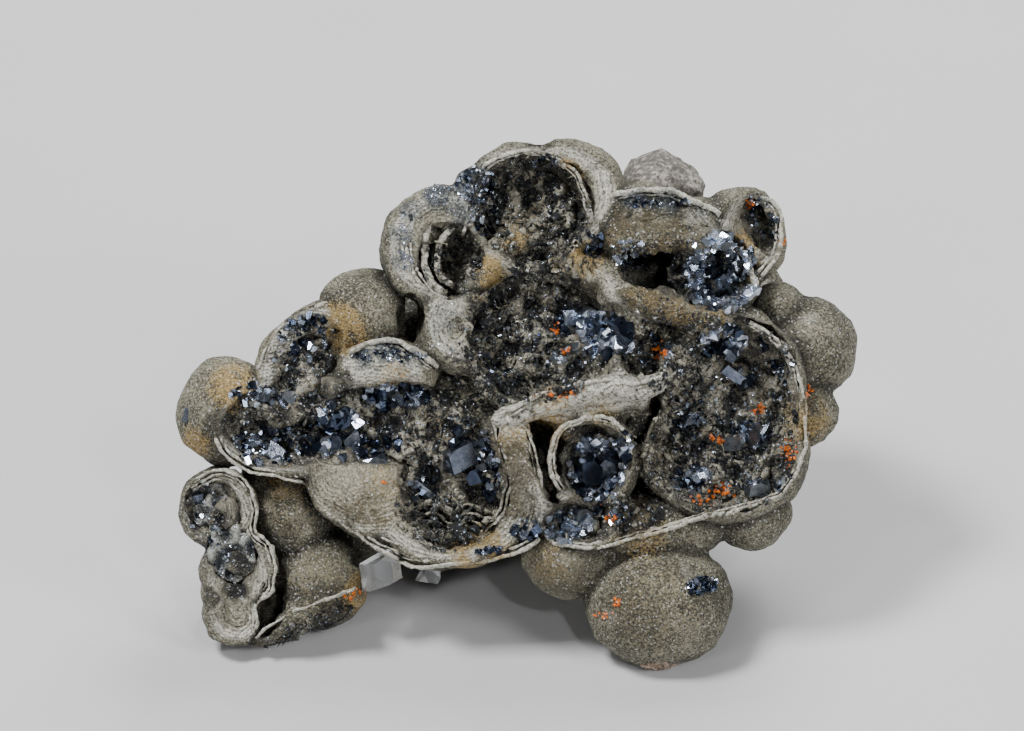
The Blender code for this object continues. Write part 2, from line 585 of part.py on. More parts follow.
def main():
    clear_scene()
    shown = new_collection("native_arsenic")
    helpers = new_collection("helpers")
    face = bpy.data.objects.new("face_frame", None)
    shown.objects.link(face)
    face.rotation_euler = (math.pi / 2 - LEAN_BACK, 0, 0)
    face.location = REST_SHIFT * MM
    bpy.context.view_layer.update()

    floor = floor_cutter(helpers)
    _, rock_socket = build_chip("matrix_rock", MATRIX_ROCK, MATRIX_FLATS, shown, helpers, face)
    tip, tip_socket = build_chip("tip_rock", TIP_ROCK, TIP_FLATS, shown, helpers, face)
    boolean(tip, "DIFFERENCE", floor, overlapping=False)
    sockets = [rock_socket, tip_socket]
    for name, (place, turns, slot) in SINGLE_CRYSTALS.items():
        sockets.append(build_crystal_piece(name, place, turns, slot, shown, helpers, face))
    build_body("arsenic_mass", shown, helpers, face, sockets, floor)

    clearance = ledge_object("ledge_clearance", helpers, face, LEDGE_CLEARANCE, LEDGE_SHARE_KEPT)
    for name in HOLLOWS:
        build_crust(name, shown, helpers, face, clearance)


main()
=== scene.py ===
"""Native arsenic: broken grape-like lobes with thin layered shells, their hollows lined with crystals.

Shapes are laid out in the face frame, in millimetres: u across, v up and w out of the broken face.
"""

import logging  # noqa: E402
import math  # noqa: E402
import random  # noqa: E402
from collections.abc import Iterable, Iterator  # noqa: E402
from dataclasses import dataclass, field, replace  # noqa: E402
from enum import Enum  # noqa: E402

import bmesh  # noqa: E402
import bpy  # noqa: E402
import numpy as np  # noqa: E402
from mathutils import Euler, Matrix, Vector, noise  # noqa: E402
from mathutils.bvhtree import BVHTree  # noqa: E402


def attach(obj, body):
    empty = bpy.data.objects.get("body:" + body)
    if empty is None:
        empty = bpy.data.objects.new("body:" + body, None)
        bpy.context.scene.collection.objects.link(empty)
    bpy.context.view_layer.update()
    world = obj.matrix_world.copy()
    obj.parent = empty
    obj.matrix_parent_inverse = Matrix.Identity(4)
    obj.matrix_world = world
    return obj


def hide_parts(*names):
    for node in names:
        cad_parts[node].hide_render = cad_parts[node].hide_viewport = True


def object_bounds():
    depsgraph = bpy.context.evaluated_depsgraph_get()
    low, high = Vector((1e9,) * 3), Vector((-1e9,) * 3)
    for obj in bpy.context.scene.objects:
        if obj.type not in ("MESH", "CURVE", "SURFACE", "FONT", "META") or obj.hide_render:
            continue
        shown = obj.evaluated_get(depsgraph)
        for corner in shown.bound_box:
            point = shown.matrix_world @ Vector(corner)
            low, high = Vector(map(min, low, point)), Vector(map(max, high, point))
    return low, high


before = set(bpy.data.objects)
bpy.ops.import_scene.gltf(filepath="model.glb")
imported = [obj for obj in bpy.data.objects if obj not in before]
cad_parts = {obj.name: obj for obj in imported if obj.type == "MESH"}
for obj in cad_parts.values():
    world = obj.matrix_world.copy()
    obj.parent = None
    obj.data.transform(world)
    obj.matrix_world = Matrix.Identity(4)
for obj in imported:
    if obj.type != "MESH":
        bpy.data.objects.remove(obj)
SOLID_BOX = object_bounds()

LOG = logging.getLogger("native_arsenic")
MM = 0.001
LEAN_BACK = math.radians(35)
REST_SHIFT = Vector((-0.74, -6.66, 34.4))
FACE = Matrix.Translation(REST_SHIFT) @ Matrix.Rotation(math.pi / 2 - LEAN_BACK, 4, "X")
FACE_TO_WORLD = Matrix.Diagonal((MM, MM, MM, 1)) @ FACE

Spot = tuple[float, float, float]


@dataclass(frozen=True)
class Lump:
    """An uneven ellipsoid: a lobe, a hollow or a bead of a ledge."""

    centre: Spot
    radii: Spot
    turn: float = 0.0


def lumps(*rows: tuple) -> list[Lump]:
    """Reads lumps from rows of u, v, w, three radii and a turn in degrees.

    Args:
        rows: One tuple of six or seven numbers for each lump.

    Returns:
        The lumps in order.
    """
    return [Lump(row[:3], row[3:6], row[6] if len(row) > 6 else 0.0) for row in rows]


BROKEN_LOBES = lumps(
    (-26.5, -7.4, -3.0, 11.0, 6.7, 8.0), (-26.4, 2.4, -3.4, 7.3, 4.0, 6.0, 45),
    (-15.7, -0.6, -3.0, 6.5, 4.2, 5.0, -6), (-7.1, -16.8, -3.4, 10.8, 8.6, 9.0),
    (-17.0, -13.5, -4.0, 9.2, 8.2, 6.5), (-9.0, 14.7, -3.6, 7.7, 7.8, 8.0),
    (-7.0, 5.0, -4.0, 5.2, 6.4, 7.0, 20), (1.6, 19.2, -3.6, 8.8, 8.9, 8.5),
    (-4.0, 21.8, -3.4, 3.5, 3.4, 5.0), (7.2, 21.2, -3.8, 7.2, 7.3, 8.0), (16.2, 17.6, -3.6, 6.2, 5.3, 6.0),
    (23.6, 17.6, -3.6, 4.6, 3.6, 5.0, -10), (23.4, 12.0, -4.0, 8.1, 7.1, 8.0),
    (28.9, 16.2, -4.6, 5.5, 6.4, 6.5), (27.8, -4.3, -3.2, 9.4, 11.7, 9.5),
    (26.6, -11.2, -3.2, 10.6, 8.6, 9.0), (7.0, 3.0, -4.0, 13.0, 12.0, 8.0),
    (10.2, -12.0, -3.0, 5.7, 6.3, 7.5), (9.0, -18.6, -3.4, 5.9, 5.1, 6.5),
    (1.4, -13.4, -3.6, 3.4, 8.4, 7.0, 12), (-36.9, -18.0, -6.0, 5.1, 5.2, 5.6),
    (-34.25, -25.6, -6.4, 5.0, 5.0, 5.4), (-35.0, -31.2, -7.0, 3.8, 4.2, 4.8),
)
WHOLE_LOBES = lumps(
    (-35.5, -5.8, -7.0, 6.7, 6.8, 6.6), (-18.75, 6.7, -4.8, 5.6, 5.6, 5.6),
    (37.4, 2.3, -8.4, 6.3, 6.3, 6.5), (33.5, 6.7, -7.6, 3.9, 3.8, 4.5), (36.5, -5.9, -7.4, 4.6, 4.7, 5.5),
    (30.0, -18.2, -7.6, 5.1, 5.0, 5.5), (17.9, -20.6, -6.6, 9.4, 4.6, 6.0, 4),
    (7.2, -23.6, -6.6, 6.0, 5.8, 6.2), (18.4, -30.0, -5.6, 9.1, 8.0, 7.2),
    (-28.0, -18.7, -9.4, 5.6, 5.6, 5.6), (-24.2, -27.2, -10.2, 6.3, 6.0, 6.0),
    (-26.6, -31.0, -9.0, 8.0, 2.7, 5.6, 27), (-33.8, -28.6, -13.2, 5.4, 5.4, 5.4),
    (-2.0, -6.0, -16.0, 31.0, 15.5, 12.0), (12.0, 5.0, -14.0, 23.0, 18.0, 11.0),
    (-25.5, -5.5, -18.0, 8.4, 8.0, 8.4), (-21.0, -17.0, -17.5, 9.0, 8.0, 8.0),
    (-15.0, 3.5, -19.5, 8.6, 8.0, 8.4), (-5.0, 11.5, -19.0, 8.6, 8.2, 8.4),
    (8.5, 16.0, -18.5, 9.0, 8.6, 8.6), (23.0, 12.5, -17.0, 8.8, 8.0, 8.0),
    (33.0, 1.0, -15.5, 7.6, 8.0, 7.4), (29.5, -12.0, -15.0, 8.0, 7.6, 7.6),
    (4.0, 3.0, -27.0, 10.0, 9.4, 9.4), (19.5, 1.0, -25.5, 9.4, 9.0, 9.0),
    (-11.5, -9.8, -31.6, 8.8, 8.4, 8.8), (14.5, -9.2, -32.4, 9.4, 8.6, 9.0),
    (2.0, -14.0, -25.0, 8.6, 7.0, 7.6), (-9.0, -18.6, -17.5, 8.4, 7.4, 7.6),
    (15.0, -20.5, -18.0, 8.6, 7.4, 7.4), (-31.4, -14.2, -8.6, 2.8, 2.3, 2.8),
)
HOLLOWS = {
    "left_crust": lumps(
        (-28.0, -7.6, 0.4, 8.7, 5.4, 8.4), (-14.4, -7.4, 0.4, 11.0, 5.5, 8.4),
        (-25.6, -0.2, 0.4, 3.7, 6.4, 6.4, -38), (-7.3, -15.0, 0.6, 7.2, 8.2, 9.0),
    ),
    "middle_crust": lumps((4.2, 3.4, 0.6, 9.6, 8.8, 8.6)),
    "bridge_crust": lumps((17.6, 0.9, 0.2, 4.0, 3.9, 7.2)),
    "top_crust": lumps((2.4, 20.0, 0.6, 8.0, 7.0, 10.2, -12)),
    "vug_crust": lumps((24.2, 12.1, 0.0, 6.5, 5.3, 8.8)),
    "right_crust": lumps((27.7, -4.5, 0.8, 8.8, 10.9, 9.6), (26.2, -10.9, 0.8, 9.9, 7.9, 9.0)),
    "pod_crust": lumps((10.3, -12.2, 0.6, 4.6, 5.2, 7.0)),
    "pod_foot_crust": lumps((8.3, -19.8, 0.4, 4.8, 3.3, 5.6, 8)),
    "low_left_crust": lumps(
        (-37.5, -17.9, -2.8, 3.5, 4.2, 4.2, 20), (-35.1, -23.9, -2.8, 3.3, 3.9, 4.2, 24),
    ),
}
LAYER_LOBES = [lump for lump in BROKEN_LOBES if min(lump.radii[:2]) > 4.9] + lumps(
    (-17.0, -11.5, -4.0, 11.5, 10.8, 8.0), (-34.6, -27.6, -7.0, 5.0, 8.0, 6.0),
    (18.6, 15.6, -3.6, 9.6, 7.0, 8.0),
)
CLEFTS = lumps(
    (-7.6, 13.2, 0.4, 4.4, 5.0, 6.4, 15), (17.6, 12.4, -2.4, 4.6, 3.3, 9.6),
    (3.9, -11.6, -2.0, 1.7, 6.0, 8.6, 14), (4.4, -9.2, -1.6, 2.0, 2.4, 7.0, 14),
    (-12.7, 6.0, -2.2, 1.9, 3.2, 6.0), (31.2, 17.6, -2.6, 2.2, 4.2, 3.6, 28),
    (-30.3, -30.2, -5.4, 1.9, 4.4, 5.6, -14), (-18.2, -23.4, -6.0, 2.4, 2.4, 4.6, 35),
)
ALL_LOBES = BROKEN_LOBES + WHOLE_LOBES
ALL_CUTS = [lump for rows in HOLLOWS.values() for lump in rows] + CLEFTS
BREAK_LEVELS = (
    (-37.0, -18.0, -3.6), (-34.5, -26.0, -4.0), (-35.0, -33.0, -5.0), (-36.0, -8.0, -1.2),
    (-28.0, -13.5, -0.8), (-27.0, 3.0, -2.2), (-16.0, 3.2, -0.2), (-20.9, -17.0, -1.4), (-8.0, -24.0, -0.6),
    (2.0, -19.0, 0.0), (-14.0, 13.0, 0.2), (-9.0, 20.5, -1.4), (-7.0, 5.0, 0.4), (2.0, 27.0, -2.2),
    (10.5, 22.0, 0.4), (15.0, 20.5, 1.0), (24.0, 19.4, 0.2), (32.0, 19.0, -2.6), (30.5, 10.0, -0.6),
    (6.0, 9.0, -0.6), (36.5, -3.0, 0.0), (36.0, -14.0, -0.2), (26.0, -19.4, 0.4), (9.0, -23.0, 0.2),
    (10.0, -7.4, 1.3), (5.4, -12.0, 1.0), (14.0, -4.0, 0.6), (-24.0, -16.5, -3.2), (-18.0, -21.0, -2.8),
    (1.2, -12.0, 0.6), (15.6, -12.0, 0.6),
)
FILL_LEVELS = (
    (-28.0, -8.0, -5.4), (-18.0, -7.0, -4.8), (-26.0, 0.4, -3.8), (-7.6, -17.6, -6.0), (-10.0, -10.2, -3.4),
    (-26.2, -3.4, -2.8), (3.0, 6.0, -4.2), (6.0, 0.0, -5.4), (17.6, 1.0, -4.8), (2.0, 20.4, -6.8),
    (25.0, 12.0, -5.4), (27.6, -3.6, -6.4), (25.9, -11.6, -5.0), (10.2, -13.4, -4.4), (8.3, -19.7, -3.6),
    (-38.0, -18.6, -4.3), (-34.8, -24.7, -4.4), (-36.4, -21.4, -3.9),
)
LEDGES = {
    "shelf": (
        (-1.2, -6.6, -0.4, 1.4), (1.5, -5.9, 0.2, 1.7), (5.0, -4.6, 0.8, 2.0), (9.0, -3.4, 1.0, 2.1),
        (12.6, -2.8, 0.8, 2.0), (16.0, -3.0, 0.4, 1.6), (19.4, -1.6, -0.4, 1.4),
    ),
    "shelf_leg": ((16.2, -4.0, -1.8, 1.1), (15.8, -6.4, -2.2, 1.0), (15.2, -8.4, -2.8, 1.0)),
    "ridge": (
        (12.6, 8.8, -0.6, 1.5), (15.2, 8.6, 0.4, 1.8), (18.0, 7.2, 0.8, 1.8),
        (21.4, 6.2, 0.6, 1.8), (24.4, 5.4, 0.2, 1.7), (26.6, 5.0, -0.8, 1.3),
    ),
    "ridge_flank": ((22.6, 4.0, -2.0, 2.0), (20.6, 1.0, -2.6, 1.7), (19.6, -2.0, -1.8, 1.4)),
    "drape_edge": (
        (11.6, 18.6, -0.2, 1.4), (14.0, 16.4, -0.2, 2.2), (17.6, 16.0, 0.0, 2.4),
        (21.4, 15.8, -0.4, 2.1), (24.8, 16.2, -1.2, 1.6),
    ),
    "tan_lump": (
        (1.4, 16.0, -2.9, 2.0), (-0.8, 14.8, -1.9, 1.8), (-2.6, 12.4, -0.9, 1.6), (-4.4, 10.4, -0.9, 1.3),
    ),
    "chimney": (
        (6.0, 11.2, -3.0, 1.7), (8.1, 15.2, -1.9, 0.9), (8.2, 14.4, -1.9, 1.2), (9.6, 11.0, -2.4, 2.1),
        (11.0, 13.0, -3.4, 2.0),
    ),
    "left_step": (
        (-36.4, -6.4, -3.0, 1.2), (-33.0, -5.9, -2.4, 1.0), (-29.4, -5.9, -2.4, 1.1),
        (-25.6, -6.2, -2.8, 1.0), (-23.4, -6.6, -3.6, 0.9),
    ),
    "dome_upper": ((-35.9, -18.5, -4.9, 1.9), (-35.8, -19.1, -4.9, 1.9)),
    "dome_lower": ((-34.1, -24.6, -4.9, 1.7), (-34.0, -25.1, -4.9, 1.7)),
    "ball_low": ((-37.4, -29.4, -4.5, 1.2), (-37.4, -29.7, -4.5, 1.2)),
    "ball_high": ((-40.2, -17.0, -4.3, 0.8), (-40.2, -17.2, -4.3, 0.8)),
    "ball_outside": ((-38.6, -8.1, -1.6, 0.7), (-38.6, -8.3, -1.6, 0.7)),
    "disc": ((-3.5, 6.0, -2.2, 0.9), (-3.3, 5.2, -2.2, 0.9)),
    "lower_scallop": (
        (-13.0, -20.8, -4.0, 1.7), (-9.6, -21.9, -3.4, 1.7), (-5.8, -20.8, -3.6, 1.7),
        (-2.6, -21.6, -3.4, 1.6),
    ),
}


class Grain:
    """Smooth seeded noise over space, worked out for many points at once."""

    SIDE = 32

    def __init__(self, seed: int) -> None:
        """Args: seed: Picks the lattice of random values."""
        self.lattice = np.random.default_rng(seed).uniform(-1, 1, (self.SIDE,) * 3)

    def at(self, points: np.ndarray, pitch: float) -> np.ndarray:
        """Noise between -1 and 1.

        Args:
            points: Positions in millimetres, one row each.
            pitch: Size of a lump of the noise in millimetres.

        Returns:
            One value for each point.
        """
        scaled = points / pitch
        base = np.floor(scaled).astype(int)
        part = scaled - base
        part = part * part * (3 - 2 * part)
        total = np.zeros(len(points))
        for corner in range(8):
            step = np.array([corner & 1, corner >> 1 & 1, corner >> 2])
            weight = np.prod(np.where(step, part, 1 - part), axis=1)
            cell = (base + step) % self.SIDE
            total += weight * self.lattice[cell[:, 0], cell[:, 1], cell[:, 2]]
        return total

    def fractal(self, points: np.ndarray, pitch: float, octaves: int) -> np.ndarray:
        """Noise in ever finer and fainter layers, each half as large as the one before.

        Args:
            points: Positions in millimetres.
            pitch: Size of the coarsest lumps in millimetres.
            octaves: How many layers.

        Returns:
            One value for each point.
        """
        return sum(self.at(points + 17.3 * n, pitch / 2**n) / 2**n for n in range(octaves))


def smooth_step(low: float, high: float, value: np.ndarray) -> np.ndarray:
    """Rises smoothly from 0 at low to 1 at high."""
    share = np.clip((value - low) / (high - low), 0, 1)
    return share * share * (3 - 2 * share)


def distance(points: np.ndarray, rows: list[Lump]) -> np.ndarray:
    """How far points lie outside the nearest of some lumps.

    Args:
        points: Positions in millimetres.
        rows: The lumps.

    Returns:
        Millimetres, negative inside a lump.
    """
    nearest = np.full(len(points), 1e3)
    for lump in rows:
        angle = math.radians(lump.turn)
        offset = points - np.array(lump.centre)
        u = offset[:, 0] * math.cos(angle) + offset[:, 1] * math.sin(angle)
        v = offset[:, 1] * math.cos(angle) - offset[:, 0] * math.sin(angle)
        local = np.stack([u, v, offset[:, 2]], axis=1)
        radii = np.array(lump.radii)
        near = np.linalg.norm(local / radii, axis=1)
        slope = np.linalg.norm(local / radii**2, axis=1) + 1e-9
        nearest = np.minimum(nearest, near * (near - 1) / slope)
    return nearest


def level_at(levels: tuple[Spot, ...], u: np.ndarray, v: np.ndarray) -> np.ndarray:
    """The height between named spots, each weighing less the further it is.

    Args:
        levels: Spots across, up and out of the face.
        u: Positions across.
        v: Positions up.

    Returns:
        The height at each position.
    """
    total = np.zeros_like(u)
    weights = np.zeros_like(u)
    for x, y, level in levels:
        weight = 1 / (0.5 + (u - x) ** 2 + (v - y) ** 2) ** 1.5
        total += weight * level
        weights += weight
    return total / weights


def mesh_of(name: str, bm: bmesh.types.BMesh) -> bpy.types.Mesh:
    """Makes a mesh of a shape and frees the shape.

    Args:
        name: The mesh's name.
        bm: The shape.

    Returns:
        The mesh.
    """
    mesh = bpy.data.meshes.new(name)
    bm.to_mesh(mesh)
    bm.free()
    return mesh


def thing_of(name: str, data: bpy.types.ID) -> bpy.types.Object:
    """Puts a mesh, a light or a camera into the scene as an object.

    Args:
        name: The object's name.
        data: What the object shows.

    Returns:
        The object.
    """
    thing = bpy.data.objects.new(name, data)
    bpy.context.scene.collection.objects.link(thing)
    return thing


def pour(mesh: bpy.types.Mesh, bm: bmesh.types.BMesh) -> None:
    """Adds a mesh to a shape and takes the mesh out of the file."""
    bm.from_mesh(mesh)
    bpy.data.meshes.remove(mesh)


def coordinates(mesh: bpy.types.Mesh, what: str = "co") -> np.ndarray:
    """Reads three numbers of every vertex.

    Args:
        mesh: The mesh.
        what: "co" for the places, "normal" for the normals.

    Returns:
        One array, a row for each vertex.
    """
    flat = np.empty(len(mesh.vertices) * 3)
    mesh.vertices.foreach_get(what, flat)
    return flat.reshape(-1, 3)


def store(mesh: bpy.types.Mesh, name: str, values: np.ndarray) -> None:
    """Keeps one number for each vertex as an attribute that a material can read.

    Args:
        mesh: Where it is kept.
        name: What the material asks for.
        values: The numbers, in the order of the vertices.
    """
    if name in mesh.attributes:
        mesh.attributes.remove(mesh.attributes[name])
    mesh.attributes.new(name, "FLOAT", "POINT").data.foreach_set("value", values.astype(np.float32))


class Joining(Enum):
    """What becomes of a form when another meets it."""

    ADD = "UNION"
    CUT = "DIFFERENCE"
    KEEP_SHARED = "INTERSECT"


class Form:
    """A closed solid in the face frame, in millimetres, that others can be melted into or cut from."""

    def __init__(self, name: str, bm: bmesh.types.BMesh) -> None:
        """Args: name: The object's name. bm: Its shape, which is freed."""
        self.thing = thing_of(name, mesh_of(name, bm))

    def _bake(self) -> "Form":
        """Applies the live modifiers.

        Returns:
            The form itself.
        """
        bpy.context.view_layer.update()
        graph = bpy.context.evaluated_depsgraph_get()
        mesh = bpy.data.meshes.new_from_object(self.thing.evaluated_get(graph))
        self.thing.modifiers.clear()
        self.thing.data = mesh
        return self

    def melt(self, voxel: float) -> "Form":
        """Melts overlapping shapes into one even skin.

        Args:
            voxel: Size of its cells in millimetres.

        Returns:
            The form itself.
        """
        modifier = self.thing.modifiers.new("melt", "REMESH")
        modifier.mode = "VOXEL"
        modifier.voxel_size = voxel
        return self._bake()

    def thin(self, share: float) -> "Form":
        """Keeps this share of the triangles, most of them where the shape is sharp."""
        self.thing.modifiers.new("thin", "DECIMATE").ratio = share
        return self._bake()

    def join(self, other: "Form", how: Joining = Joining.ADD) -> "Form":
        """Adds, cuts or intersects with another form, which is used up.

        Args:
            other: The other form.
            how: Whether it adds, cuts or leaves what both share.

        Returns:
            The form itself.
        """
        modifier = self.thing.modifiers.new("join", "BOOLEAN")
        modifier.operation = how.value
        modifier.object = other.thing
        modifier.solver = "MANIFOLD"
        self._bake()
        other.drop()
        return self

    def shift(self, reach: np.ndarray) -> None:
        """Moves each point along its normal.

        Args:
            reach: Millimetres for each point, outwards.
        """
        mesh = self.thing.data
        moved = coordinates(mesh) + coordinates(mesh, "normal") * reach[:, None]
        mesh.vertices.foreach_set("co", moved.ravel())
        mesh.update()

    def drop(self) -> None:
        """Takes the form out of the file."""
        bpy.data.objects.remove(self.thing)

    def place(self, slot: str, *nodes: str) -> bpy.types.Object:
        """Puts the form where it belongs in the world and hands it over as a finished piece.

        Args:
            slot: Name of the part's material slot; not used.
            nodes: Solids that the piece stands for.

        Returns:
            The finished object.
        """
        mesh = self.thing.data
        mesh.transform(FACE_TO_WORLD)
        kept = np.clip(coordinates(mesh), *np.array([list(corner) for corner in SOLID_BOX]))
        mesh.vertices.foreach_set("co", kept.ravel())
        mesh.update()
        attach(self.thing, "root")
        if nodes:
            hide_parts(*nodes)
        LOG.info("%s: %d faces", self.thing.name, len(self.thing.data.polygons))
        return self.thing


def add_lump(
    bm: bmesh.types.BMesh, lump: Lump, roundness: int, roughness: float, grow: float = 0.0
) -> None:
    """Adds an uneven ellipsoid.

    Args:
        bm: What it is added to.
        lump: Its centre, radii and turn.
        roundness: Subdivisions of the sphere that it starts from.
        roughness: How far it departs from an ellipsoid, as a share of its radius.
        grow: Millimetres added all round.
    """
    made = bmesh.ops.create_icosphere(bm, subdivisions=roundness, radius=1)["verts"]
    seed = Vector(lump.centre) * 0.37
    share = 1 + grow / min(lump.radii)
    for vert in made:
        vert.co *= 1 + roughness * noise.noise(vert.co * 2.1 + seed) * 2
    place = (
        Matrix.Translation(Vector(lump.centre))
        @ Matrix.Rotation(math.radians(lump.turn), 4, "Z")
        @ Matrix.Diagonal((*(Vector(lump.radii) * share), 1))
    )
    bmesh.ops.transform(bm, matrix=place, verts=made)


def lump_form(name: str, rows: list[Lump], roundness: int, roughness: float, grow: float = 0.0) -> Form:
    """Makes one form of several overlapping lumps, still separate shells.

    Args:
        name: Its name.
        rows: The lumps.
        roundness: Subdivisions of the sphere that each starts from.
        roughness: How far each departs from an ellipsoid, as a share of its radius.
        grow: Millimetres added all round.

    Returns:
        The form.
    """
    bm = bmesh.new()
    for lump in rows:
        add_lump(bm, lump, roundness, roughness, grow)
    return Form(name, bm)


BLOCK_ACROSS, BLOCK_UP = 50, 44
BLOCK_FRONT, BLOCK_BACK = 14, -30


def uneven_block(
    name: str, levels: tuple[Spot, ...], roughness: float, pitch: float, cell: float, back: bool
) -> Form:
    """A block across the face whose one side is uneven.

    Args:
        name: Its name.
        levels: Spots that the uneven side runs through.
        roughness: Height of its bumps in millimetres.
        pitch: Size of its bumps.
        cell: Spacing of its points.
        back: True if the uneven side looks backwards, with the block in front of it.

    Returns:
        The block as a form.
    """
    bm = bmesh.new()
    columns, rows = round(2 * BLOCK_ACROSS / cell), round(2 * BLOCK_UP / cell)
    bmesh.ops.create_grid(bm, x_segments=columns, y_segments=rows, size=1)
    bmesh.ops.scale(bm, vec=(BLOCK_ACROSS, BLOCK_UP, 1), verts=bm.verts)
    raised = bmesh.ops.extrude_face_region(bm, geom=bm.faces[:])["geom"]
    lifted = {item for item in raised if isinstance(item, bmesh.types.BMVert)}
    grain = Grain(5)
    verts = list(bm.verts)
    spots = np.array([(vert.co.x, vert.co.y, 3.0) for vert in verts])
    uneven = level_at(levels, spots[:, 0], spots[:, 1]) + grain.fractal(spots, pitch, 4) * roughness
    for vert, height in zip(verts, uneven):
        top = vert in lifted
        vert.co.z = (BLOCK_FRONT if top else height) if back else (height if top else BLOCK_BACK)
    bmesh.ops.triangulate(bm, faces=bm.faces)
    bmesh.ops.recalc_face_normals(bm, faces=bm.faces)
    return Form(name, bm)


LEDGE_CELL = 0.35


def ledge_form(name: str, steps: int) -> Form:
    """Melts the beads of the ledges that cross the hollows together.

    Args:
        name: The form's name.
        steps: How many beads lie between two named ones.

    Returns:
        The ledges as one form.
    """
    bm = bmesh.new()
    for beads in LEDGES.values():
        for (*start, first), (*end, last) in zip(beads, beads[1:]):
            for step in range(steps + 1):
                share = step / steps
                radius = first + (last - first) * share
                centre = Vector(start).lerp(Vector(end), share)
                add_lump(bm, Lump(tuple(centre), (radius * 1.15, radius * 0.85, radius)), 3, 0.16)
    return Form(name, bm).melt(LEDGE_CELL)


class Value:
    """A shader value that adds its Math nodes when it is used in an expression."""

    def __init__(self, graph: "Graph", socket: bpy.types.NodeSocket) -> None:
        """Args: graph: Where nodes are added. socket: The output that this value reads."""
        self.graph = graph
        self.socket = socket

    def _math(self, operation: str, first: "Value | float", second: "Value | float") -> "Value":
        """One Math node."""
        return self.graph.node("ShaderNodeMath", {"operation": operation}, {0: first, 1: second})

    def __add__(self, other: "Value | float") -> "Value":
        """self + other."""
        return self._math("ADD", self, other)

    __radd__ = __add__

    def __sub__(self, other: "Value | float") -> "Value":
        """self - other."""
        return self._math("SUBTRACT", self, other)

    def __rsub__(self, other: "Value | float") -> "Value":
        """other - self."""
        return self._math("SUBTRACT", other, self)

    def __mul__(self, other: "Value | float") -> "Value":
        """self * other."""
        return self._math("MULTIPLY", self, other)

    __rmul__ = __mul__

    def wave(self) -> "Value":
        """Sine of the value, moved to run from 0 to 1."""
        return self._math("SINE", self, 0.0) * 0.5 + 0.5

    def step(self, low: float, high: float) -> "Value":
        """Rises smoothly from 0 at low to 1 at high, or falls if high is below low.

        Args:
            low: Where the result is 0.
            high: Where the result is 1.

        Returns:
            The share between 0 and 1.
        """
        settings = {"interpolation_type": "SMOOTHSTEP", "clamp": True}
        if low < high:
            return self.graph.node("ShaderNodeMapRange", settings, {0: self, 1: low, 2: high})
        return 1 - self.graph.node("ShaderNodeMapRange", settings, {0: self, 1: high, 2: low})


Colour = tuple[float, float, float]


class Graph:
    """The node tree of one material, with short ways to add its nodes."""

    def __init__(self, name: str) -> None:
        """Args: name: The material's name."""
        self.material = bpy.data.materials.new(name)
        self.material.use_nodes = True
        self.tree = self.material.node_tree
        self.shader = self.tree.nodes["Principled BSDF"]
        self.point = self.node("ShaderNodeTexCoord", {}, {}, "Object")

    def node(self, kind: str, settings: dict, inputs: dict, output: "str | int" = 0) -> Value:
        """Adds a node, sets it and links it.

        Args:
            kind: The node's type.
            settings: Properties of the node, set first.
            inputs: Values or links for its sockets, by name or number.
            output: Which output the result reads.

        Returns:
            The chosen output.
        """
        node = self.tree.nodes.new(kind)
        for key, value in settings.items():
            setattr(node, key, value)
        for key, value in inputs.items():
            self.feed(node.inputs[key], value)
        return Value(self, node.outputs[output])

    def feed(self, socket: bpy.types.NodeSocket, value: "Value | Colour | float") -> None:
        """Links a value to a socket, or sets a constant on it.

        Args:
            socket: The input.
            value: What it gets.
        """
        if isinstance(value, Value):
            self.tree.links.new(value.socket, socket)
        elif isinstance(value, tuple):
            socket.default_value = (*value, 1) if socket.type == "RGBA" else value
        else:
            socket.default_value = value

    def set(self, **inputs: "Value | Colour | float") -> None:
        """Feeds sockets of the shader, named with underscores for spaces."""
        for key, value in inputs.items():
            self.feed(self.shader.inputs[key.replace("_", " ").title().replace("Ior", "IOR")], value)

    def mix(self, factor: "Value | float", first: "Value | Colour", second: "Value | Colour") -> Value:
        """A colour between two others."""
        settings = {"data_type": "RGBA", "clamp_factor": True}
        return self.node("ShaderNodeMix", settings, {0: factor, 6: first, 7: second}, 2)

    def shade(self, colour: "Value | Colour", strength: "Value | float") -> Value:
        """Makes a colour darker or lighter.

        Args:
            colour: The colour.
            strength: What each of its shares is multiplied by.

        Returns:
            The new colour.
        """
        grey = self.node("ShaderNodeCombineColor", {}, {0: strength, 1: strength, 2: strength})
        settings = {"data_type": "RGBA", "blend_type": "MULTIPLY"}
        return self.node("ShaderNodeMix", settings, {0: 1.0, 6: colour, 7: grey}, 2)

    def noise(self, size: float, detail: float = 2.0, roughness: float = 0.5) -> Value:
        """Noise whose lumps are about size millimetres."""
        inputs = {"Vector": self.point, "Scale": 1 / (size * MM), "Detail": detail, "Roughness": roughness}
        return self.node("ShaderNodeTexNoise", {}, inputs)

    def cells(self, size: float) -> Value:
        """A random number for each cell about size millimetres across."""
        inputs = {"Vector": self.point, "Scale": 1 / (size * MM)}
        colour = self.node("ShaderNodeTexVoronoi", {}, inputs, "Color")
        return self.node("ShaderNodeSeparateColor", {}, {0: colour})

    def attribute(self, name: str) -> Value:
        """A number kept on the mesh."""
        return self.node("ShaderNodeAttribute", {"attribute_name": name}, {}, "Fac")

    def bump(self, height: Value, distance_mm: float, strength: float = 1.0) -> Value:
        """A bump from a height that runs from 0 to 1 over distance_mm."""
        inputs = {"Height": height, "Distance": distance_mm * MM, "Strength": strength}
        return self.node("ShaderNodeBump", {}, inputs)


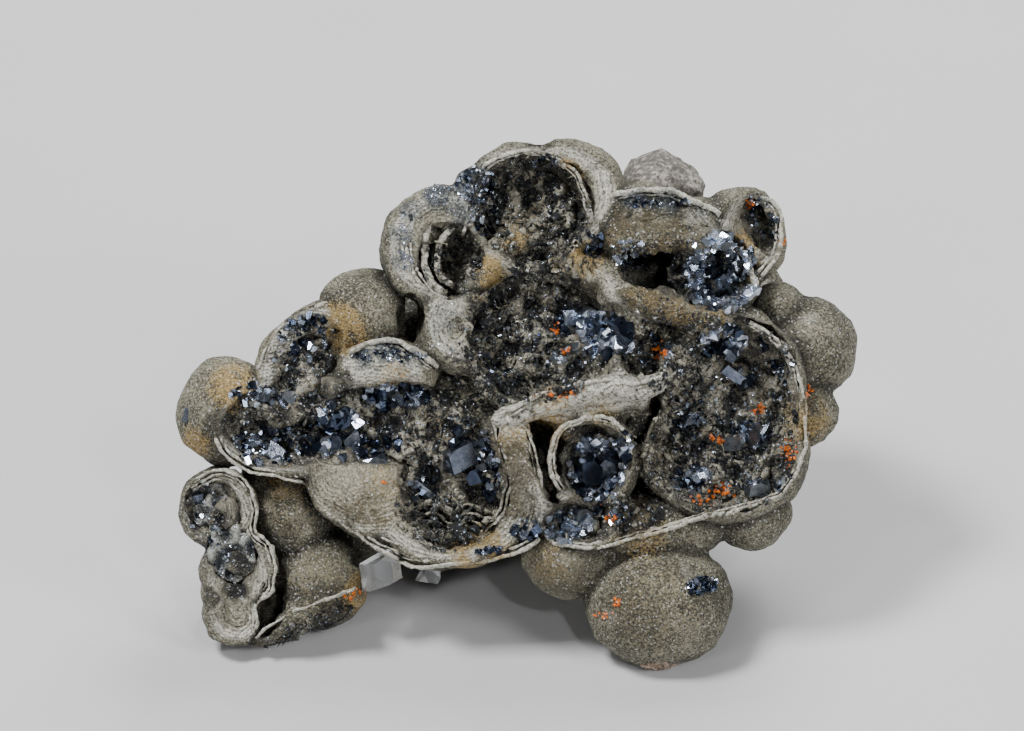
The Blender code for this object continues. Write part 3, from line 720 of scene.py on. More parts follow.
@dataclass(frozen=True)
class ArsenicFinish:
    """Sugary olive-grey skin with painted shade in the creases between lobes, pale layered shells on the
    break and dark rough hollows with painted shade in their low spots.
    """

    skin_dark: Colour = (0.032, 0.030, 0.018)
    skin_light: Colour = (0.30, 0.282, 0.205)
    shell_pale: Colour = (0.66, 0.64, 0.54)
    shell_olive: Colour = (0.37, 0.345, 0.255)
    shell_line: Colour = (0.055, 0.053, 0.043)
    hollow_dark: Colour = (0.006, 0.007, 0.008)
    hollow_light: Colour = (0.27, 0.25, 0.19)
    ochre: Colour = (0.34, 0.212, 0.046)
    brown: Colour = (0.12, 0.098, 0.056)
    steel: Colour = (0.055, 0.075, 0.10)
    glint: Colour = (0.72, 0.73, 0.72)
    lamina: float = 0.44
    band: float = 1.9
    sugar: float = 0.17

    def build(self) -> bpy.types.Material:
        """Builds the material.

        Returns:
            The material of the arsenic mass and its layer edges.
        """
        g = Graph("arsenic_shell")
        grain = g.cells(self.sugar)
        fine = g.noise(0.38, 3, 0.65)
        broad = g.noise(3.2, 3, 0.6)
        depth = g.attribute("depth")
        cut = g.attribute("cut")
        tint = (fine * 1.2 + grain * 0.6 + broad * 0.6 + g.noise(8.0, 2) * 0.9 - 1.25).step(0.0, 0.95)
        # painted shade: the skin is darkened in the creases between lobes, where shade falls.
        skin = g.shade(g.mix(tint, self.skin_dark, self.skin_light), 1 - g.attribute("crease_shade") * 0.72)
        bent = depth + (broad - 0.5) * 0.8 + (fine - 0.5) * 0.25
        line = (bent * (2 * math.pi / self.lamina)).wave()
        wide = (bent * (2 * math.pi / self.band)).wave()
        shallow = depth.step(7.5, 2.4)
        stain = line.step(0.5, 1.0) * fine.step(0.38, 0.6) * 0.62
        stain = stain + wide.step(0.6, 1.0) * fine.step(0.3, 0.6) * 0.35
        stain = stain * shallow + fine.step(0.48, 0.75) * 0.5 + grain.step(0.7, 1.0) * 0.45
        pale = g.mix(g.attribute("rim"), self.shell_olive, self.shell_pale)
        shell = g.shade(g.mix(stain, pale, self.shell_line), grain * 0.6 + 0.6)
        # painted shade: the low spots of the hollow walls are darkened towards black, with random grain on
        # top.
        pit_shade_and_tone = (g.attribute("relief_shade") * 0.9 + fine * 0.55 + grain * 0.3 - 0.6).step(0.0, 0.95)
        inside = g.mix(pit_shade_and_tone, self.hollow_dark, self.hollow_light)
        colour = g.mix(cut, skin, shell)
        band = g.attribute("steel") * fine.step(0.25, 0.5)
        colour = g.mix(band * 0.9, colour, g.shade(self.steel, grain * 1.6 + 0.2))
        colour = g.mix(g.attribute("hollow"), colour, inside)
        patchy = (fine - 0.5) * 1.3 + (grain - 0.5) * 0.5
        earthy = g.mix(fine * 0.5, self.ochre, self.skin_light)
        share = (g.attribute("ochre") + patchy).step(0.15, 0.85) * 0.9
        colour = g.mix(share, colour, g.shade(earthy, grain * 0.8 + 0.45))
        earthy = g.mix(fine, self.brown, self.skin_dark)
        share = (g.attribute("brown") + patchy * 0.7).step(0.15, 0.85) * 0.9
        colour = g.mix(share, colour, g.shade(earthy, grain * 1.1 + 0.4))
        colour = g.shade(colour, g.noise(0.28, 2, 0.7).step(0.25, 0.6) * 0.75 + 0.35)
        sparkle = g.cells(0.19).step(0.93, 0.98)
        colour = g.mix(sparkle * 0.45, colour, self.glint)
        height = fine * 0.7 + grain * 0.4 + line * cut * shallow * 0.25
        g.set(
            base_color=colour,
            roughness=0.85 - sparkle * 0.5,
            metallic=sparkle * 0.5 + band * 0.35,
            normal=g.bump(height, 0.4, 1.0),
        )
        return g.material


@dataclass(frozen=True)
class RubbleFinish:
    """Gritty filling of the hollows, from black to grey-brown; where its mark is a height, the low spots
    are darkened as painted shade.
    """

    name: str
    mark: str
    dark: Colour = (0.006, 0.007, 0.008)
    light: Colour = (0.36, 0.335, 0.26)
    brown: Colour = (0.20, 0.168, 0.105)
    glint: Colour = (0.42, 0.48, 0.56)

    def build(self) -> bpy.types.Material:
        """Builds the material.

        Returns:
            The material, which reads the mark on the mesh as how far it stands out and darkens what lies
            low as painted shade.
        """
        g = Graph(self.name)
        grain = g.cells(0.2)
        fine = g.noise(0.45, 3, 0.65)
        broad = g.noise(3.5, 2)
        # painted shade: a low mark darkens the colour towards black, with random grain on top.
        tone = (g.attribute(self.mark) * 0.8 + grain * 0.5 + fine * 0.7 + broad * 0.5 - 0.98).step(0.0, 0.8)
        colour = g.mix(tone, self.dark, g.mix(broad.step(0.54, 0.7), self.light, self.brown))
        sparkle = g.cells(0.26).step(0.88, 0.95)
        colour = g.mix(sparkle * 0.8, colour, self.glint)
        g.set(
            base_color=colour,
            roughness=0.85 - sparkle * 0.6,
            metallic=sparkle * 0.9,
            normal=g.bump(fine * 0.6 + grain * 0.4, 0.4, 1.0),
        )
        return g.material


@dataclass(frozen=True)
class CrystalFinish:
    """Metallic faces of arsenic crystals, tarnished unevenly."""

    fresh: Colour = (0.66, 0.73, 0.86)
    tarnished: Colour = (0.036, 0.048, 0.078)

    def build(self) -> bpy.types.Material:
        """Builds the material.

        Returns:
            The material, which reads on the mesh how bright each crystal is.
        """
        g = Graph("blue_black_crystal")
        shade = g.attribute("tone")
        patch = g.noise(0.8, 3, 0.6)
        fine = g.noise(0.12, 2)
        colour = g.mix((shade * 0.95 + patch * 0.5 - 0.2).step(0.05, 0.9), self.tarnished, self.fresh)
        g.set(
            base_color=colour,
            roughness=0.08 + patch * 0.2 + fine * 0.06,
            metallic=0.95,
            normal=g.bump(fine * 0.5 + patch * 0.5, 0.05, 0.5),
        )
        return g.material


@dataclass(frozen=True)
class RockFinish:
    """Pale dusty rock with darker grains."""

    name: str
    light: Colour
    dark: Colour

    def build(self) -> bpy.types.Material:
        """Builds the material.

        Returns:
            The material of a chip of rock.
        """
        g = Graph(self.name)
        grain = g.cells(0.4)
        fine = g.noise(0.7, 4, 0.6)
        blotch = g.noise(2.6, 3, 0.6)
        tone = (fine * 0.8 + grain * 0.4 + blotch * 1.1 - 0.9).step(0.1, 0.85)
        colour = g.mix(tone, self.dark, self.light)
        g.set(base_color=colour, roughness=0.85, normal=g.bump(fine, 0.4, 0.8))
        return g.material


@dataclass(frozen=True)
class CalciteFinish:
    """Clear to milky crystal."""

    tint: Colour = (0.93, 0.945, 0.95)
    clearness: float = 0.92
    refraction: float = 1.6

    def build(self) -> bpy.types.Material:
        """Builds the material.

        Returns:
            The material of the calcite crystals.
        """
        g = Graph("clear_calcite")
        veil = g.noise(1.1, 3, 0.6)
        g.set(
            base_color=self.tint,
            roughness=0.03 + veil.step(0.45, 0.7) * 0.2,
            transmission_weight=self.clearness,
            ior=self.refraction,
            normal=g.bump(veil, 0.08, 0.4),
        )
        return g.material


@dataclass(frozen=True)
class RealgarFinish:
    """Orange-red resinous grains."""

    bright: Colour = (0.80, 0.20, 0.014)
    deep: Colour = (0.30, 0.05, 0.008)

    def build(self) -> bpy.types.Material:
        """Builds the material.

        Returns:
            The material of the orange grains.
        """
        g = Graph("realgar")
        fine = g.noise(0.3, 2)
        g.set(base_color=g.mix(fine.step(0.35, 0.65), self.deep, self.bright), roughness=0.35)
        return g.material


def stain(mesh: bpy.types.Mesh, grain: Grain) -> None:
    """Keeps on a mesh how strongly each of its points is stained.

    Args:
        mesh: A mesh in the face frame.
        grain: Noise that breaks the stains up.
    """
    points = coordinates(mesh)
    broken = smooth_step(-0.6, 0.4, grain.fractal(points, 2.0, 3) + 0.2)
    for name, spots in STAINS.items():
        strength = np.zeros(len(points))
        for u, v, w, reach, most in spots:
            gap = np.linalg.norm((points - (u, v, w)) * (1, 1, 0.6), axis=1)
            strength = np.maximum(strength, most * (1 - smooth_step(reach * 0.4, reach, gap)))
        store(mesh, name, strength * np.clip(broken + 0.3, 0, 1))


ROTTEN_SPOTS = (
    (-3.4, 7.6, 2.8), (3.6, 11.6, 3.4), (5.6, 8.8, 2.6), (-7.4, -1.8, 3.0), (-4.6, -4.4, 3.4),
    (-1.6, -4.8, 2.6), (14.6, -18.4, 3.6), (17.4, -8.6, 3.4), (18.4, -13.4, 3.6), (20.6, 0.6, 3.0),
    (16.4, -3.8, 1.6), (-21.6, -2.2, 2.4), (-10.8, -11.8, 2.2), (22.6, -18.2, 2.4), (-34.6, -28.0, 1.6),
)


class ArsenicMass:
    """The arsenic that grew as one piece: lobes, break, hollows, clefts and ledges."""

    CELL = 0.4
    COARSE_CELL = 0.5
    MOST_TRIANGLES = 190000
    FLOOR_SLAB = Vector((160, 160, 30))

    def __init__(self) -> None:
        """Prepares the seeded noise."""
        self.grain = Grain(11)
        self.coarse = Grain(23)

    def build(self) -> Form:
        """Models the mass and roughens it.

        Returns:
            The mass in the face frame.
        """
        whole = lump_form("whole_lobes", WHOLE_LOBES, 5, 0.03).melt(self.COARSE_CELL)
        body = lump_form("arsenic_shell", BROKEN_LOBES, 5, 0.03).melt(self.CELL)
        body.join(uneven_block("break_block", BREAK_LEVELS, 0.6, 4.0, 0.5, back=True), Joining.CUT)
        body.join(whole)
        body.join(lump_form("hollow_cut", ALL_CUTS, 3, 0.06).melt(self.CELL), Joining.CUT)
        body.join(ledge_form("ledge_beads", 4))
        body.join(self._floor(), Joining.CUT)
        self._weather(body)
        share = self.MOST_TRIANGLES / (2 * len(body.thing.data.polygons))
        if share < 1:
            body.thin(share)
        self._mark(body.thing.data)
        return body

    def _floor(self) -> Form:
        """Makes the slab that levels the underside.

        Returns:
            The slab below the surface that the piece rests on.
        """
        bm = bmesh.new()
        bmesh.ops.create_cube(bm, size=1)
        bmesh.ops.scale(bm, vec=self.FLOOR_SLAB, verts=bm.verts)
        bmesh.ops.translate(bm, vec=(0, 0, -self.FLOOR_SLAB.z / 2), verts=bm.verts)
        bmesh.ops.transform(bm, matrix=FACE.inverted(), verts=bm.verts)
        return Form("floor_cut", bm)

    def _fields(self, points: np.ndarray) -> tuple[np.ndarray, ...]:
        """What each point belongs to.

        Args:
            points: Positions in millimetres.

        Returns:
            Depth in the layers, share of broken shell and share of hollow wall.
        """
        depth = -distance(points, ALL_LOBES)
        away = distance(points, ALL_CUTS)
        above = points[:, 2] - level_at(BREAK_LEVELS, points[:, 0], points[:, 1])
        wobble = self.coarse.fractal(points, 2.5, 3)
        inner = smooth_step(0.25, 0.7, depth + wobble * 0.15)
        at_edge = smooth_step(-1.0, -0.3, above + wobble * 0.3) * smooth_step(-0.6, 0.2, away)
        hollow = inner * (1 - smooth_step(-0.1, 0.5, away + wobble * 0.55 - 0.2)) * (1 - at_edge * 0.8)
        for u, v, reach in ROTTEN_SPOTS:
            gap = np.linalg.norm(points[:, :2] - (u, v), axis=1) / reach + wobble * 0.3
            hollow = np.maximum(hollow, inner * smooth_step(1.0, 0.75, gap))
        cut = inner * (1 - hollow)
        return -distance(points, LAYER_LOBES), cut, hollow

    def _weather(self, body: Form) -> None:
        """Moves the points: sugary skin, stepped shells on the break, ragged hollows.

        Args:
            body: The mass, melted and cut.
        """
        points = coordinates(body.thing.data)
        depth, cut, hollow = self._fields(points)
        skin = 1 - np.clip(cut + hollow, 0, 1)
        steps = depth / 1.15 + self.coarse.at(points, 5.0) * 0.5
        terrace = (steps - np.floor(steps)) - 0.5
        move = skin * (self.grain.fractal(points, 1.1, 2) * 0.14 + self.coarse.at(points, 3.2) * 0.26)
        stepped = terrace * 0.2 * smooth_step(4.0, 2.4, depth)
        move += cut * (stepped + self.grain.fractal(points, 1.3, 3) * 0.3)
        move += hollow * self._crumble(points)
        height = points @ np.array(FACE.to_3x3().transposed() @ Vector((0, 0, 1))) + REST_SHIFT.z
        body.shift(move * smooth_step(0.0, 1.5, height))

    def _mark(self, mesh: bpy.types.Mesh) -> None:
        """Keeps on the mesh what the material needs.

        Args:
            mesh: The finished mesh of the mass.
        """
        points = coordinates(mesh)
        depth, cut, hollow = self._fields(points)
        store(mesh, "depth", depth)
        store(mesh, "hollow", hollow)
        # painted shade: how far the hollow walls stand out, so that the material darkens where they lie
        # low.
        store(mesh, "relief_shade", smooth_step(-0.9, 0.9, self._crumble(points)))
        beads = lumps(*((u, v, w, reach, reach, reach) for u, v, w, reach in LEDGES["shelf"]))
        shelf = smooth_step(1.4, 0.4, distance(points, beads))
        store(mesh, "cut", np.maximum(cut, shelf))
        outermost = smooth_step(2.6, 0.8, depth + self.coarse.at(points, 2.0) * 0.5)
        store(mesh, "rim", np.maximum(shelf, outermost))
        # painted shade: how far each point lies in a crease between lobes, darkened by the material.
        store(mesh, "crease_shade", self._crease_shade(points))
        stain(mesh, self.coarse)

    def _crease_shade(self, points: np.ndarray) -> np.ndarray:
        """How deep in the groove between two lobes each point lies, from 0 to 1, which darkens the skin as
        painted shade in the creases.
        """
        gaps = np.sort(np.stack([distance(points, [lump]) for lump in ALL_LOBES]), axis=0)
        return 1 - smooth_step(0.15, 1.9, gaps[1] - gaps[0] + self.coarse.at(points, 1.6) * 0.35)

    def _crumble(self, points: np.ndarray) -> np.ndarray:
        """How far the rotten hollow walls stand out, in millimetres, at each point."""
        return self.grain.fractal(points, 1.6, 3) * 0.6 + self.coarse.at(points, 4.0) * 0.45


STAINS = {
    "ochre": (
        (-34.8, -2.6, -2.0, 4.4, 0.9), (-39.6, -9.6, -4.0, 3.2, 0.8), (-21.4, 4.6, -1.0, 4.6, 1.0),
        (-2.8, 11.8, -0.4, 2.8, 1.2), (0.2, 15.8, -1.4, 2.6, 0.7), (9.2, 13.2, -1.5, 3.4, 0.85),
        (4.2, -7.6, -2.0, 4.4, 0.75), (11.0, -5.6, -1.0, 3.4, 0.5), (16.4, 8.8, 1.8, 3.4, 0.75),
        (21.0, 7.0, 1.6, 3.4, 0.7), (25.0, 5.8, 1.0, 3.0, 0.7), (-4.0, -23.6, -2.0, 5.5, 0.8),
        (28.9, 15.3, -1.0, 2.4, 0.9), (0.4, -9.6, -2.0, 4.0, 0.7), (29.0, 13.0, -4.0, 3.4, 0.7),
        (37.0, -7.0, -3.0, 4.6, 0.6), (5.0, -25.0, -2.0, 4.0, 0.5), (-28.4, -15.0, -5.0, 3.6, 0.6),
        (-19.0, -28.6, -8.0, 4.0, 0.8), (16.0, -21.0, -1.0, 5.0, 0.5), (-14.6, -1.4, 0.6, 3.0, 0.5),
        (7.0, 24.0, -1.0, 2.8, 0.9), (7.4, 20.6, -3.0, 2.6, 0.7), (16.0, 15.6, 1.5, 6.0, 0.5),
        (20.6, 16.0, 1.2, 4.0, 0.4), (-24.0, -27.0, -4.0, 6.0, 0.2), (-27.6, -18.6, -4.0, 5.0, 0.15),
        (-17.4, -17.6, -1.0, 4.6, 0.35), (5.0, -3.6, 2.0, 3.4, 0.6), (-16.0, -14.6, -0.6, 3.6, 0.4),
        (18.0, -30.0, 1.0, 8.0, 0.2),
    ),
    "brown": (
        (16.0, 8.4, 1.4, 4.6, 0.55), (20.6, 7.0, 1.2, 4.2, 0.5), (25.0, 5.6, 0.6, 3.2, 0.4),
        (21.0, 2.4, -1.0, 4.0, 0.7), (15.0, -18.6, -1.0, 4.4, 0.9), (-18.0, -28.8, -5.0, 3.0, 0.7),
        (10.0, 9.6, -2.0, 3.0, 0.6), (17.0, 4.6, -2.0, 3.0, 0.7), (14.0, 17.6, 1.5, 3.4, 0.75),
        (17.6, 18.0, 1.6, 3.4, 0.8), (21.4, 17.4, 1.2, 3.4, 0.75), (17.6, 15.0, 1.0, 5.6, 0.5),
        (21.6, 14.6, 0.6, 3.6, 0.5), (0.4, -12.6, 0.2, 4.6, 0.95), (0.8, -17.6, 0.0, 4.2, 0.75),
        (-19.4, -18.6, -1.4, 6.0, 0.6), (5.0, -11.6, 1.0, 3.4, 0.4), (15.4, -11.0, 0.8, 3.0, 0.4),
        (7.0, -26.6, -2.0, 5.6, 0.5), (-24.2, -26.4, -4.6, 6.0, 0.35), (-28.0, -18.7, -4.0, 5.0, 0.35),
        (15.4, -31.0, 1.0, 7.0, 0.35),
    ),
    "steel": (
        (-4.6, 22.4, -1.0, 3.4, 1.0), (-6.6, 19.0, -0.6, 2.6, 0.8), (-18.6, 1.0, 0.0, 2.0, 0.9),
        (-15.6, 1.8, 0.0, 2.2, 1.0), (-12.4, 0.6, 0.0, 2.0, 0.9), (-13.9, 16.4, 0.0, 1.9, 0.7),
        (-13.8, 13.0, 0.0, 1.9, 0.7), (-12.6, 19.4, -0.6, 2.0, 0.7), (-9.4, 21.2, -1.0, 2.4, 0.9),
        (15.6, 20.4, 0.6, 2.6, 0.9), (19.4, 20.2, 0.4, 2.6, 0.8), (23.0, 19.0, 0.0, 2.0, 0.6),
        (-38.4, -18.0, -4.0, 3.6, 0.7), (-36.4, -22.6, -4.0, 3.6, 0.6), (-2.0, -15.0, -0.6, 3.0, 0.5),
        (2.2, -19.6, 0.0, 2.6, 0.6), (30.8, 19.6, -2.6, 2.6, 0.6), (-8.4, 6.0, 0.0, 2.6, 0.4),
    ),
}


class Face:
    """What can be seen of the piece from the front, to set small things on."""

    def __init__(self, *forms: Form) -> None:
        """Args: forms: Forms in the face frame that carry the small things."""
        self.trees = []
        for form in forms:
            mesh = form.thing.data
            faces = [tuple(face.vertices) for face in mesh.polygons]
            self.trees.append(BVHTree.FromPolygons([vert.co for vert in mesh.vertices], faces))

    def under(self, u: float, v: float) -> "tuple[Vector, Vector] | None":
        """The frontmost spot at a place across and up the face.

        Args:
            u: Across.
            v: Up.

        Returns:
            The spot and its normal, or None past the edge.
        """
        best = None
        for tree in self.trees:
            spot, normal, _, _ = tree.ray_cast(Vector((u, v, 30)), Vector((0, 0, -1)))
            if spot is not None and (best is None or spot.z > best[0].z):
                best = (spot, normal)
        return best


@dataclass(frozen=True)
class Patch:
    """An area of the face that small crystals are strewn over."""

    u: float
    v: float
    reach_u: float
    reach_v: float
    count: int
    small: float = 0.35
    large: float = 1.3
    turn: float = 0.0
    bright: float = 0.0


def patch_rows(*rows: tuple) -> list[Patch]:
    """Patches from rows that give a patch's fields in order."""
    return [Patch(*row) for row in rows]


def cut_corner(bm: bmesh.types.BMesh, where: Vector, along: Vector) -> None:
    """Cuts off what lies past a plane and closes the cut.

    Args:
        bm: A single convex shape.
        where: A point of the plane.
        along: Its normal, towards what is cut off.
    """
    geometry = bm.verts[:] + bm.edges[:] + bm.faces[:]
    cut = bmesh.ops.bisect_plane(bm, geom=geometry, plane_co=where, plane_no=along, clear_outer=True)
    rim = [item for item in cut["geom_cut"] if isinstance(item, bmesh.types.BMEdge)]
    if len(rim) > 2:
        bmesh.ops.contextual_create(bm, geom=rim)


class ShapeKit:
    """A few dozen small shapes, each about one millimetre across, that are sown by the hundred."""

    def __init__(self, name: str, shapes: Iterable[bmesh.types.BMesh]) -> None:
        """Keeps the shapes as meshes.

        Args:
            name: What each of them is called.
            shapes: The shapes, which are freed.
        """
        self.meshes = []
        for bm in shapes:
            bmesh.ops.recalc_face_normals(bm, faces=bm.faces)
            mesh = mesh_of(name, bm)
            store(mesh, "tone", np.zeros(len(mesh.vertices)))
            self.meshes.append(mesh)

    def sow(self, bm: bmesh.types.BMesh, dice: random.Random, place: Matrix, tone: float) -> None:
        """Adds one shape.

        Args:
            bm: What it is added to.
            dice: Picks the shape.
            place: Where it goes, how large and how turned.
            tone: How bright it is.
        """
        mesh = dice.choice(self.meshes).copy()
        mesh.transform(place)
        mesh.attributes["tone"].data.foreach_set("value", [tone] * len(mesh.vertices))
        pour(mesh, bm)


def crystals(kinds: int, near: float, far: float) -> Iterator[bmesh.types.BMesh]:
    """Cuts differently shaped blocky crystals.

    Args:
        kinds: How many to make.
        near: Distance from the middle of the deepest cuts over the corners.
        far: The same for the shallowest.

    Yields:
        Each crystal.
    """
    dice = random.Random(4)
    for _ in range(kinds):
        bm = bmesh.new()
        bmesh.ops.create_cube(bm, size=1)
        shear = Matrix.Identity(4)
        shear[0][1] = dice.uniform(0, 0.25)
        shear[0][2] = dice.uniform(0, 0.1)
        shear[1][2] = dice.uniform(0, 0.15)
        bmesh.ops.transform(bm, matrix=shear, verts=bm.verts)
        for _ in range(dice.choice((3, 4, 5, 6))):
            along = Vector([dice.choice((-1, 1)) * dice.uniform(0.45, 1) for _ in range(3)]).normalized()
            cut_corner(bm, along * dice.uniform(near, far), along)
        yield bm


def crumb(kind: int) -> bmesh.types.BMesh:
    """Makes a ragged crumb of the rotten filling.

    Args:
        kind: Picks its shape.

    Returns:
        The crumb.
    """
    bm = bmesh.new()
    bmesh.ops.create_icosphere(bm, subdivisions=1, radius=0.5)
    bmesh.ops.subdivide_edges(bm, edges=bm.edges[:][::3], cuts=1)
    for vert in bm.verts:
        vert.co *= 1 + noise.noise(vert.co * 3.6 + Vector((kind, 0, 0)))
    bmesh.ops.triangulate(bm, faces=bm.faces)
    return bm


def flake(kind: int) -> bmesh.types.BMesh:
    """Makes a thin curled flake that came off the layers.

    Args:
        kind: Picks its curl and its outline.

    Returns:
        The flake.
    """
    bm = bmesh.new()
    bmesh.ops.create_grid(bm, x_segments=3, y_segments=2, size=0.5)
    curl = 0.5 + 0.7 * (kind % 4)
    for vert in bm.verts:
        x, y, _ = vert.co
        ragged = noise.noise(Vector((x * 3, y * 3, kind)))
        vert.co = Vector((x * (1 + ragged * 0.7), y * 0.7 * (1 + ragged), curl * x * x + ragged * 0.2))
    bmesh.ops.solidify(bm, geom=bm.faces[:], thickness=0.07)
    return bm


def fibre(kind: int) -> bmesh.types.BMesh:
    """Makes a short stiff fibre of the rotten filling.

    Args:
        kind: Picks how thick it is.

    Returns:
        The fibre.
    """
    bm = bmesh.new()
    thick = 0.05 + 0.012 * kind
    bmesh.ops.create_cone(bm, cap_ends=True, segments=4, radius1=thick, radius2=thick * 0.4, depth=1)
    return bm


PATCHES = patch_rows(
    (-26.5, 3.0, 2.8, 4.2, 70, 0.3, 1.1, -38), (-15.5, 1.2, 5.0, 0.8, 110, 0.2, 0.45),
    (-32.0, -3.6, 3.4, 1.4, 70, 0.3, 1.1), (-30.0, -10.0, 5.6, 2.4, 190, 0.3, 1.0, 0, -0.15),
    (-21.8, -8.2, 3.4, 3.4, 110, 0.35, 1.4, 0, -0.15), (-14.4, -3.8, 4.2, 1.7, 150, 0.35, 1.3, 0, -0.15),
    (-17.0, -10.4, 3.6, 1.6, 60, 0.35, 1.2, 0, -0.15), (-5.2, -10.6, 3.0, 3.2, 90, 0.35, 1.4),
    (-2.6, -14.0, 1.2, 3.4, 80, 0.3, 1.0), (-11.0, -15.6, 2.6, 1.4, 30, 0.3, 1.0),
    (1.8, -20.5, 1.8, 1.4, 70, 0.35, 1.1), (-2.6, -23.1, 2.2, 0.5, 45, 0.25, 0.7),
    (-8.6, 21.4, 2.6, 1.4, 80, 0.12, 0.35, 0, 0.4), (-13.2, 15.6, 0.9, 4.6, 110, 0.12, 0.35, 0, 0.4),
    (-4.4, 22.6, 2.6, 2.4, 200, 0.2, 0.6), (-3.6, 18.6, 2.0, 2.4, 90, 0.2, 0.7),
    (4.0, 25.6, 2.2, 1.0, 60, 0.2, 0.6), (10.4, 15.0, 1.4, 1.4, 40, 0.3, 0.8),
    (18.0, 20.4, 4.2, 0.8, 110, 0.15, 0.45), (31.4, 18.2, 1.8, 3.4, 110, 0.25, 0.7, 28),
    (26.2, 11.6, 4.6, 5.0, 460, 0.35, 1.3, 0, 0.22), (14.6, 13.8, 2.4, 2.0, 60, 0.25, 0.8),
    (11.8, 4.0, 3.8, 2.6, 230, 0.4, 1.6, -24, 0.16), (6.4, 5.2, 1.6, 1.6, 50, 0.3, 1.0),
    (7.6, 1.0, 2.8, 1.6, 60, 0.3, 0.9), (0.6, 2.6, 5.0, 5.0, 60, 0.2, 0.6),
    (26.6, 3.0, 3.0, 2.0, 90, 0.35, 1.5), (28.4, -1.2, 2.2, 1.0, 40, 0.3, 1.2, -30),
    (33.8, -1.6, 1.6, 3.4, 40, 0.25, 0.8), (22.0, -6.4, 2.2, 1.6, 50, 0.3, 1.1),
    (30.4, -8.6, 2.6, 1.6, 70, 0.35, 1.3), (22.6, -14.4, 2.8, 1.8, 80, 0.35, 1.2),
    (31.2, -15.2, 2.8, 1.0, 50, 0.3, 1.1), (27.0, -6.0, 8.0, 10.0, 120, 0.2, 0.6),
    (10.8, -12.8, 3.7, 4.4, 340, 0.3, 1.2, 0, 0.1), (14.0, -9.6, 1.0, 1.6, 30, 0.3, 0.9),
    (7.0, -20.2, 3.2, 2.0, 140, 0.3, 1.1), (12.8, -18.4, 2.4, 1.6, 40, 0.25, 0.8),
    (-38.6, -18.0, 2.0, 3.6, 26, 0.2, 0.6), (-36.4, -22.6, 2.4, 2.6, 20, 0.2, 0.6),
    (17.8, 1.6, 2.2, 2.4, 50, 0.25, 0.8), (23.6, -27.5, 2.1, 1.0, 190, 0.2, 0.6, 8),
    (-8.0, 4.0, 2.6, 4.6, 40, 0.12, 0.3, 0, 0.5), (-2.4, 3.0, 2.0, 4.0, 50, 0.2, 0.5),
)
RUBBLE_PATCHES = patch_rows(
    (19.6, 6.6, 6.0, 1.5, 50, 0.2, 0.6, -14), (17.4, 3.6, 2.4, 2.4, 70, 0.25, 0.8),
    (-5.0, -3.4, 4.6, 2.6, 170, 0.3, 1.1), (3.6, 11.6, 3.6, 2.6, 110, 0.25, 1.0),
    (-2.8, 7.4, 2.6, 2.0, 70, 0.25, 0.9), (17.8, -10.6, 2.6, 5.4, 150, 0.25, 1.0),
    (20.4, 0.4, 2.6, 2.8, 90, 0.25, 0.9), (-24.0, -7.4, 12.4, 4.8, 330, 0.3, 1.3),
    (-9.0, -8.0, 4.8, 4.4, 200, 0.3, 1.3), (-8.0, -17.0, 6.8, 6.2, 320, 0.3, 1.2),
    (-26.0, 1.6, 3.4, 5.2, 120, 0.3, 1.1, -38), (-7.4, 13.2, 4.0, 4.6, 170, 0.2, 0.8),
    (2.4, 20.0, 7.6, 6.6, 420, 0.25, 1.2), (3.0, 3.4, 9.4, 8.0, 620, 0.3, 1.4),
    (8.4, 14.4, 2.4, 3.4, 60, 0.25, 0.9), (17.8, 1.0, 3.8, 3.6, 120, 0.3, 1.1),
    (27.6, -4.4, 8.6, 10.4, 560, 0.3, 1.3), (26.2, -11.6, 9.6, 7.4, 420, 0.3, 1.2),
    (24.2, 12.0, 5.8, 4.6, 90, 0.3, 1.1), (14.6, 13.4, 3.0, 2.4, 70, 0.3, 1.0),
    (-37.4, -18.6, 3.0, 4.0, 30, 0.2, 0.5), (14.6, -18.4, 4.4, 2.4, 170, 0.25, 1.0),
    (8.0, -19.8, 4.2, 2.6, 50, 0.3, 0.9), (-26.0, -33.2, 6.6, 1.4, 150, 0.3, 0.9, 27),
    (20.6, 3.6, 4.6, 1.8, 90, 0.25, 0.9, -18),
)
TIP_PATCH = Patch(18.4, -37.7, 2.5, 0.4, 150, 0.3, 0.9)
FLAKE_PATCHES = patch_rows(
    (-4.6, -3.6, 4.6, 2.6, 70, 0.5, 1.7), (3.4, 11.2, 3.6, 2.4, 60, 0.5, 1.4),
    (-8.4, -18.4, 5.8, 4.2, 190, 0.7, 2.1), (-10.4, -9.4, 4.0, 3.4, 90, 0.6, 1.7),
    (0.6, 3.6, 6.4, 6.6, 200, 0.6, 1.8), (1.4, 18.6, 6.2, 4.8, 140, 0.5, 1.5),
    (-6.8, 13.0, 3.0, 3.6, 60, 0.5, 1.3), (20.0, -7.0, 3.4, 5.0, 90, 0.5, 1.4),
    (27.0, -5.6, 8.0, 10.0, 130, 0.5, 1.3), (-26.0, -6.6, 9.0, 3.0, 70, 0.5, 1.5),
)


